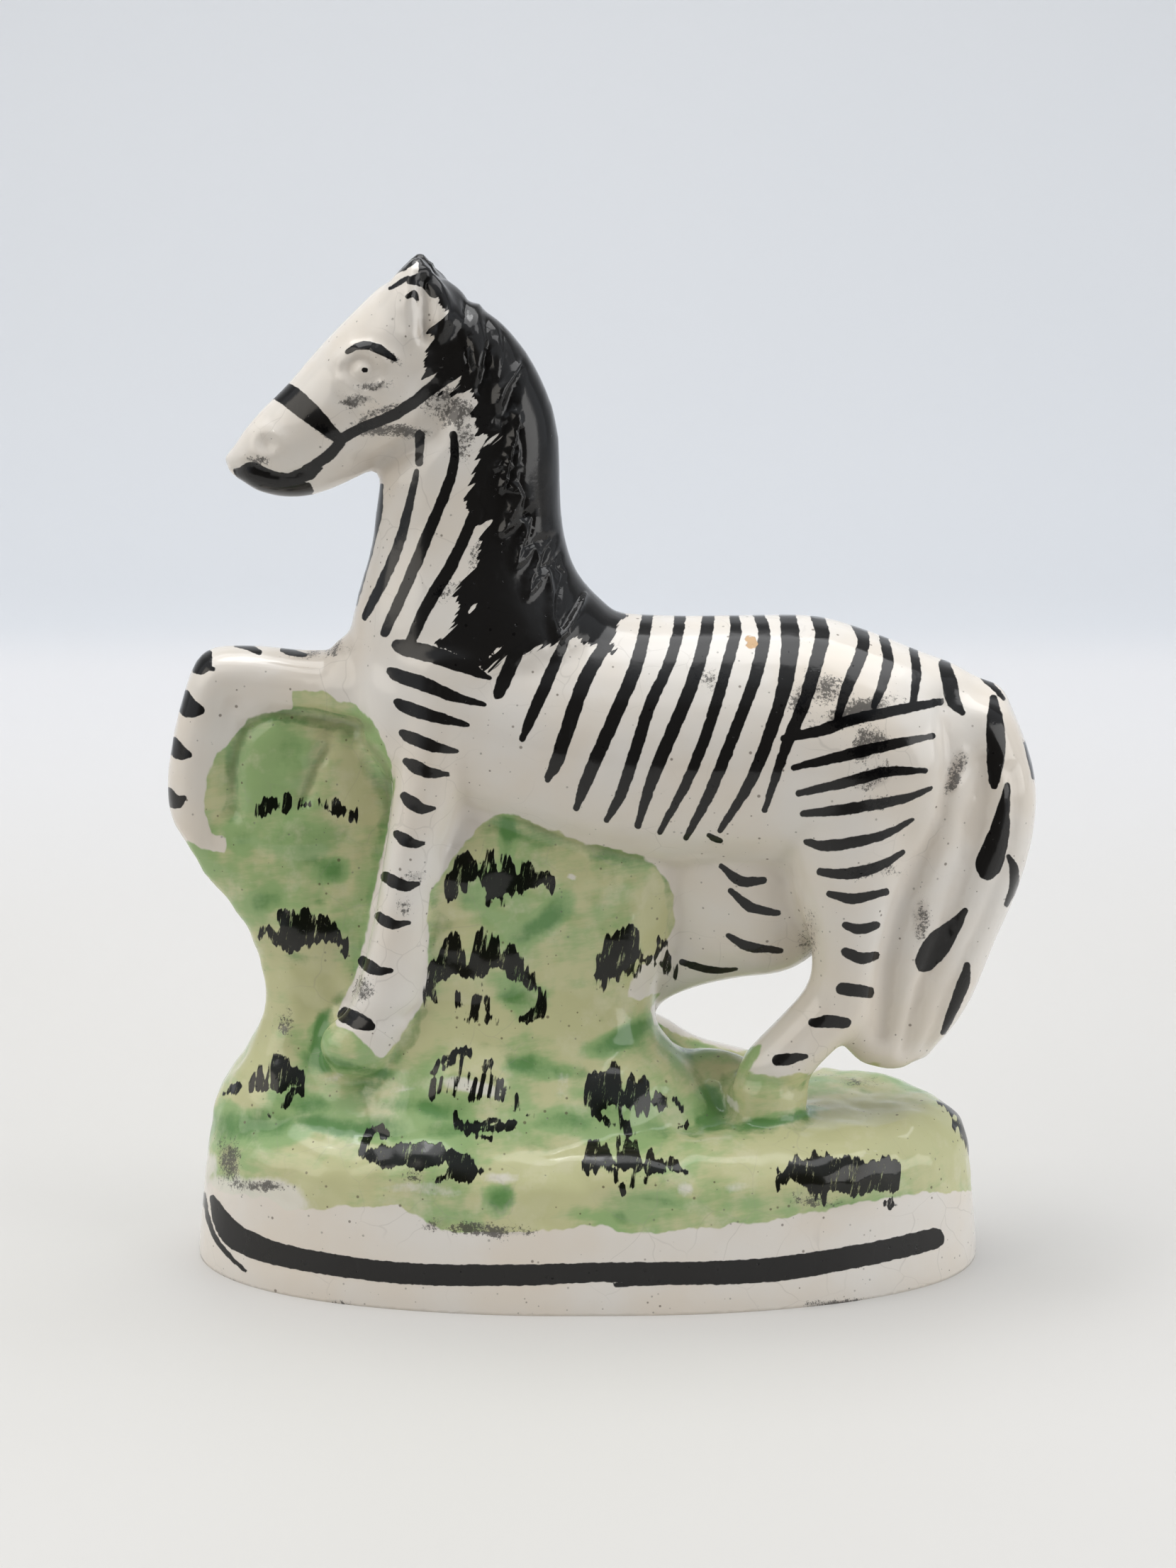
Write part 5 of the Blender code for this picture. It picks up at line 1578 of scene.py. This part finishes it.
def pottery_specks():
    """Small dots scattered over a surface: iron specks in the clay, or pinholes in the glaze."""
    group, given, made = new_group("pottery specks", "Scale", "Size", "Share")
    cells = group.nodes.new("ShaderNodeTexVoronoi")
    joined(group, given["Vector"], cells.inputs["Vector"])
    joined(group, given["Scale"], cells.inputs["Scale"])
    chance = group.nodes.new("ShaderNodeSeparateColor")
    joined(group, cells.outputs["Color"], chance.inputs["Color"])
    size = times(group, given["Size"], chance.outputs["Green"])
    dot = ramp(group, cells.outputs["Distance"], times(group, size, SPECK_CORE), size, 1.0, 0.0)
    chosen = maths(group, "LESS_THAN", chance.outputs["Red"], given["Share"])
    joined(group, times(group, dot, chosen), made)
    return group


def fine_crazing():
    """The net of hair cracks in an old glaze."""
    group, given, made = new_group("fine crazing", "Scale", "Width")
    bend = group.nodes.new("ShaderNodeTexNoise")
    joined(group, given["Vector"], bend.inputs["Vector"])
    joined(group, given["Scale"], bend.inputs["Scale"])
    shifted = group.nodes.new("ShaderNodeVectorMath")
    shifted.operation = "MULTIPLY_ADD"
    joined(group, bend.outputs["Color"], shifted.inputs[0])
    shifted.inputs[1].default_value = (CRACK_BEND, CRACK_BEND, CRACK_BEND)
    joined(group, given["Vector"], shifted.inputs[2])
    cells = group.nodes.new("ShaderNodeTexVoronoi")
    cells.feature = "DISTANCE_TO_EDGE"
    joined(group, shifted.outputs[0], cells.inputs["Vector"])
    joined(group, given["Scale"], cells.inputs["Scale"])
    crack = ramp(group, cells.outputs["Distance"], 0.0, given["Width"], 1.0, 0.0)
    here = ramp(group, cloud(group, given["Vector"], *CRAZED_NOISE), *CRAZED_RAMP)
    joined(group, times(group, crack, here), made)
    return group


def washed_green(tree, place, edge, hollow_shade, colour):
    """The green washes, from yellowish to leaf green, darker where they pooled, with painted shade in the
    hollows and painted shadow along the grooves, and pale cream where bare and in painted highlights.
    """
    pool, fold_shadows = stored(tree, "pool"), stored(tree, "fold_shadow")
    wash_place = stretched(tree, place, WASH_STRETCH)
    brushed = cloud(tree, combed(tree, place, *WASH_COMB), *BRUSH_NOISE)

    drift = cloud(tree, stretched(tree, place, DRIFT_STRETCH), *DRIFT_NOISE)
    drift = plus(tree, drift, times(tree, pool, POOL_IN_LEAF))
    drift = minus(tree, drift, times(tree, stored(tree, "yellow"), YELLOW_IN_LEAF))
    drift = plus(tree, drift, times(tree, minus(tree, brushed, NOISE_MIDDLE), BRUSH_IN_LEAF))
    leaf = mixed(tree, ramp(tree, drift, *LEAF_RAMP), GREEN_YELLOW, GREEN_LEAF)
    mottle = cloud(tree, place, *MOTTLE_NOISE)
    leaf = mixed(tree, ramp(tree, mottle, *MOTTLE_RAMP), leaf, GREEN_PALE)

    pool_noise = times(tree, cloud(tree, wash_place, *POOL_NOISE), POOL_NOISE_SHARE)
    pool_noise = plus(tree, pool_noise, times(tree, brushed, BRUSH_IN_POOL))
    # The hollows' painted shade deepens the green pools too
    pool_depth = plus(tree, pool, times(tree, hollow_shade, HOLLOW_SHADE_IN_POOL))
    pooled = ramp(tree, plus(tree, pool_depth, pool_noise), *POOL_RAMP)
    leaf = mixed(tree, pooled, leaf, GREEN_POOL)
    # Painted shadow along the grooves and under the belly
    leaf = mixed(tree, times(tree, fold_shadows, FOLD_SHADOW_SHARE), leaf, GREEN_FOLD_SHADOW)

    # Pale cream where the wash is bare, and painted highlights on the tufts and ground
    bare_and_glint_noise = plus(tree, stored(tree, "bare_and_glint"), cloud(tree, wash_place, *BARE_AND_GLINT_NOISE))
    bare_and_glint = times(tree, ramp(tree, bare_and_glint_noise, *BARE_AND_GLINT_RAMP), BARE_AND_GLINT_SHARE)
    wash = mixed(tree, bare_and_glint, leaf, CREAM_PALE)
    mask = placed(tree, edge, Depth=stored(tree, "green"), Vector=wash_place, **WASH_EDGE)
    return mixed(tree, times(tree, mask, WASH_SHARE), colour, wash)


def specked(tree, place, specks, pinhole, colour):
    """Iron specks, pinholes, and dirt caught in the crazing."""
    fleck = placed(tree, specks, Vector=place, **IRON_SPECKS)
    crack = placed(tree, fine_crazing(), Vector=place, **CRAZING)
    colour = mixed(tree, times(tree, fleck, SPECK_SHARE), colour, IRON_BROWN)
    colour = mixed(tree, times(tree, pinhole, PINHOLE_SHARE), colour, PINHOLE_GREY)
    return mixed(tree, times(tree, crack, CRACK_SHARE), colour, CRACK_GREY)


def soiled(tree, place, grime, colour):
    """Dirt in the creases, smudges of black that are half wiped away, and painted shade under the brow."""
    smudge_and_brow_shade = stored(tree, "smudge_and_brow_shade")
    colour = mixed(tree, ramp(tree, grime, *GRIME_RAMP), colour, DIRT_BROWN)
    veil = times(tree, cloud(tree, combed(tree, place, *VEIL_COMB), *VEIL_NOISE), VEIL_NOISE_SHARE)
    # Smudges, and painted shade under the brow, over a veil of streaks
    colour = mixed(tree, ramp(tree, plus(tree, smudge_and_brow_shade, veil), *VEIL_RAMP), colour, SMUDGE_AND_SHADE_GREY)
    drift = times(tree, cloud(tree, place, *STIPPLE_DRIFT_NOISE), STIPPLE_DRIFT_SHARE)
    stipple = plus(tree, cloud(tree, place, *STIPPLE_NOISE), drift)
    thick = times(tree, maths(tree, "MAXIMUM", smudge_and_brow_shade, stored(tree, "dirt")), SOIL_IN_STIPPLE)
    return mixed(tree, ramp(tree, plus(tree, thick, stipple), *STIPPLE_RAMP), colour, SMUDGE_AND_SHADE_GREY)


def black_brushwork(tree, place, edge):
    """Where the black enamel lies: crisp strokes, and ragged tufts and mane with dry streaks."""
    blade_place, lock_place = combed(tree, place, *TUFT_COMB), combed(tree, place, *MANE_COMB)
    crisp = placed(tree, edge, Depth=stored(tree, "ink"), Vector=place, **STROKE_EDGE)
    blades = placed(tree, edge, Depth=stored(tree, "tuft"), Vector=blade_place, **TUFT_EDGE)
    locks = placed(tree, edge, Depth=stored(tree, "mane"), Vector=lock_place, **LOCK_EDGE)
    black = maths(tree, "MAXIMUM", crisp, maths(tree, "MAXIMUM", blades, locks))
    dry = ramp(tree, cloud(tree, combed(tree, place, *DRY_COMB), *DRY_NOISE), *DRY_RAMP)
    thinned = times(tree, times(tree, dry, blades), minus(tree, 1.0, crisp))
    return minus(tree, black, thinned, clamp=True)


def enamelled(tree, place, black, colour):
    """The black enamel's own colour, a little greyer in streaks."""
    streak = cloud(tree, stretched(tree, place, ENAMEL_STRETCH, ENAMEL_TURN), *ENAMEL_NOISE)
    enamel = mixed(tree, ramp(tree, streak, *ENAMEL_RAMP), ENAMEL_BLACK, ENAMEL_GREY)
    return mixed(tree, times(tree, black, ENAMEL_SHARE), colour, enamel)


def set_gloss(tree, shader, tone, grime, black, chipped):
    """Gloss, broken by the chip and the grime, and a thin coat on all but chip and enamel."""
    rough = ramp(tree, tone, *TONE_RAMP, *GLAZE_ROUGHNESS_RANGE)
    rough = plus(tree, rough, times(tree, ramp(tree, grime, *DULL_RAMP), GRIME_DULLS))
    rough = plus(tree, rough, times(tree, chipped, CHIP_DULLS), clamp=True)
    joined(tree, rough, shader.inputs["Roughness"])
    coated = minus(tree, 1.0, maths(tree, "MAXIMUM", black, chipped), clamp=True)
    joined(tree, times(tree, coated, COAT_WEIGHT), shader.inputs["Coat Weight"])
    shader.inputs["Coat Roughness"].default_value = COAT_ROUGHNESS
    shader.inputs["Coat IOR"].default_value = COAT_IOR
    shader.inputs["IOR"].default_value = GLAZE_IOR


def set_skin(tree, shader, place, pinhole, black, chipped):
    """The skin of the glaze: slow waves, brush marks, pinholes and the chip's step."""
    height = times(tree, cloud(tree, place, *SLOW_SKIN_NOISE), SLOW_SKIN_HEIGHT)
    height = plus(tree, height, times(tree, cloud(tree, place, *FINE_SKIN_NOISE), FINE_SKIN_HEIGHT))
    height = minus(tree, height, times(tree, pinhole, PINHOLE_DEPTH))
    height = minus(tree, height, times(tree, chipped, CHIP_DEPTH))
    height = plus(tree, height, times(tree, black, ENAMEL_HEIGHT))
    bump = tree.nodes.new("ShaderNodeBump")
    bump.inputs["Strength"].default_value = BUMP_STRENGTH
    bump.inputs["Distance"].default_value = BUMP_DEPTH
    joined(tree, height, bump.inputs["Height"])
    joined(tree, bump.outputs["Normal"], shader.inputs["Normal"])


def painted_glaze():
    """Cream glaze with green washes and black enamel, its specks, crazing, dirt and one chip."""
    material, tree, shader, place = new_paint("painted_glaze")
    edge, specks = brushed_edge(), pottery_specks()

    tone = cloud(tree, place, *TONE_NOISE)
    # Painted shade in hollows and creases, from how deep each vertex lies
    hollow_shade = ramp(tree, stored(tree, "hollow_shade"), *HOLLOW_SHADE_RAMP)
    pinhole = placed(tree, specks, Vector=place, **PINHOLES)
    grime = plus(tree, stored(tree, "dirt"), cloud(tree, place, *GRIME_NOISE))
    black = black_brushwork(tree, place, edge)
    chipped = placed(tree, edge, Depth=stored(tree, "chip"), Vector=place, **CHIP_EDGE)

    # Cream glaze, warmer where it lies thick and darker with painted shade in its hollows, then all that is
    # painted or caught on it in turn
    colour = mixed(tree, ramp(tree, tone, *TONE_RAMP), CREAM_WARM, CREAM_PALE)
    colour = mixed(tree, times(tree, hollow_shade, HOLLOW_SHADE_IN_CREAM), colour, CREAM_IN_HOLLOW_SHADE)
    colour = washed_green(tree, place, edge, hollow_shade, colour)
    colour = specked(tree, place, specks, pinhole, colour)
    colour = soiled(tree, place, grime, colour)
    colour = enamelled(tree, place, black, colour)
    colour = mixed(tree, chipped, colour, BARE_CLAY)
    joined(tree, colour, shader.inputs["Base Color"])
    set_gloss(tree, shader, tone, grime, black, chipped)
    set_skin(tree, shader, place, pinhole, black, chipped)
    return material


def table_top():
    """A warm white table that runs up into a pale blue-grey wall behind."""
    bend = WALL_AT - SWEEP_RADIUS
    points = [(TABLE_FRONT, 0.0), (bend, 0.0)]
    for lean in np.radians(np.linspace(0, 90, SWEEP_STEPS))[1:]:
        points.append((bend + SWEEP_RADIUS * math.sin(lean), SWEEP_RADIUS * (1 - math.cos(lean))))
    points.append((WALL_AT, WALL_TOP))
    sweep = bmesh.new()
    left = [sweep.verts.new((-TABLE_HALF_WIDTH, y, z)) for y, z in points]
    right = [sweep.verts.new((TABLE_HALF_WIDTH, y, z)) for y, z in points]
    for i in range(len(points) - 1):
        sweep.faces.new((left[i], right[i], right[i + 1], left[i + 1]))
    mesh = bpy.data.meshes.new("table_top")
    sweep.to_mesh(mesh)
    sweep.free()
    mesh.shade_smooth()
    mesh.materials.append(table_paint())
    return stand("table_top", mesh)


def table_paint():
    """The table, darker and warmer at the front and lighter and cooler towards the back, and the wall's
    blue-grey.
    """
    material, tree, shader, place = new_paint("table_paint")
    split = tree.nodes.new("ShaderNodeSeparateXYZ")
    joined(tree, place, split.inputs[0])
    cool = ramp(tree, split.outputs["Y"], TABLE_COOLS, WALL_STARTS)
    floor = mixed(tree, cool, TABLE_WARM, TABLE_COOL)
    colour = mixed(tree, ramp(tree, split.outputs["Y"], *WALL_CHANGE), floor, WALL_BLUE)
    patches = ramp(tree, cloud(tree, place, *TABLE_NOISE), *TABLE_PATCHES)
    colour = mixed(tree, patches, colour, TABLE_COOL)
    joined(tree, colour, shader.inputs["Base Color"])
    shader.inputs["Roughness"].default_value = TABLE_ROUGHNESS
    return material


def soft_light(name, place, target, width, depth, power, colour):
    """A rectangular softbox aimed at a point."""
    lamp = bpy.data.lights.new(name, "AREA")
    lamp.shape = "RECTANGLE"
    lamp.size = width
    lamp.size_y = depth
    lamp.energy = power
    lamp.color = colour
    light = stand(name, lamp)
    light.location = place
    way = Vector(target) - Vector(place)
    light.rotation_euler = way.to_track_quat("-Z", "Y").to_euler()


def light_studio():
    """The softboxes, and a pale room that is dark behind the camera."""
    for light in SOFT_LIGHTS:
        soft_light(*light)
    world = bpy.data.worlds.new("soft room")
    world.use_nodes = True
    bpy.context.scene.world = world
    tree = world.node_tree
    room = tree.nodes["Background"]
    split = tree.nodes.new("ShaderNodeSeparateXYZ")
    joined(tree, tree.nodes.new("ShaderNodeTexCoord").outputs["Generated"], split.inputs[0])
    bright = ramp(tree, split.outputs["Y"], *ROOM_CHANGE)
    joined(tree, mixed(tree, bright, ROOM_DARK, ROOM_COLOUR), room.inputs["Color"])
    room.inputs["Strength"].default_value = ROOM_STRENGTH
    bpy.context.scene.view_settings.view_transform = "Standard"


def set_camera():
    """The picture's own camera."""
    camera = stand("camera", bpy.data.cameras.new("camera"))
    camera.data.sensor_width = SENSOR
    camera.data.sensor_fit = "AUTO"
    camera.data.lens = SENSOR * FOCAL_PIXELS / PICTURE_HEIGHT
    camera.data.clip_start = NEAREST_SEEN
    camera.location = CAMERA_PLACE
    camera.rotation_euler = (math.radians(90 - CAMERA_DIP), 0, 0)
    bpy.context.scene.camera = camera


def main():
    set_camera()
    figure = raise_figure()
    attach(figure, "root")
    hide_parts("zebra_figurine")
    table_top()
    light_studio()


main()
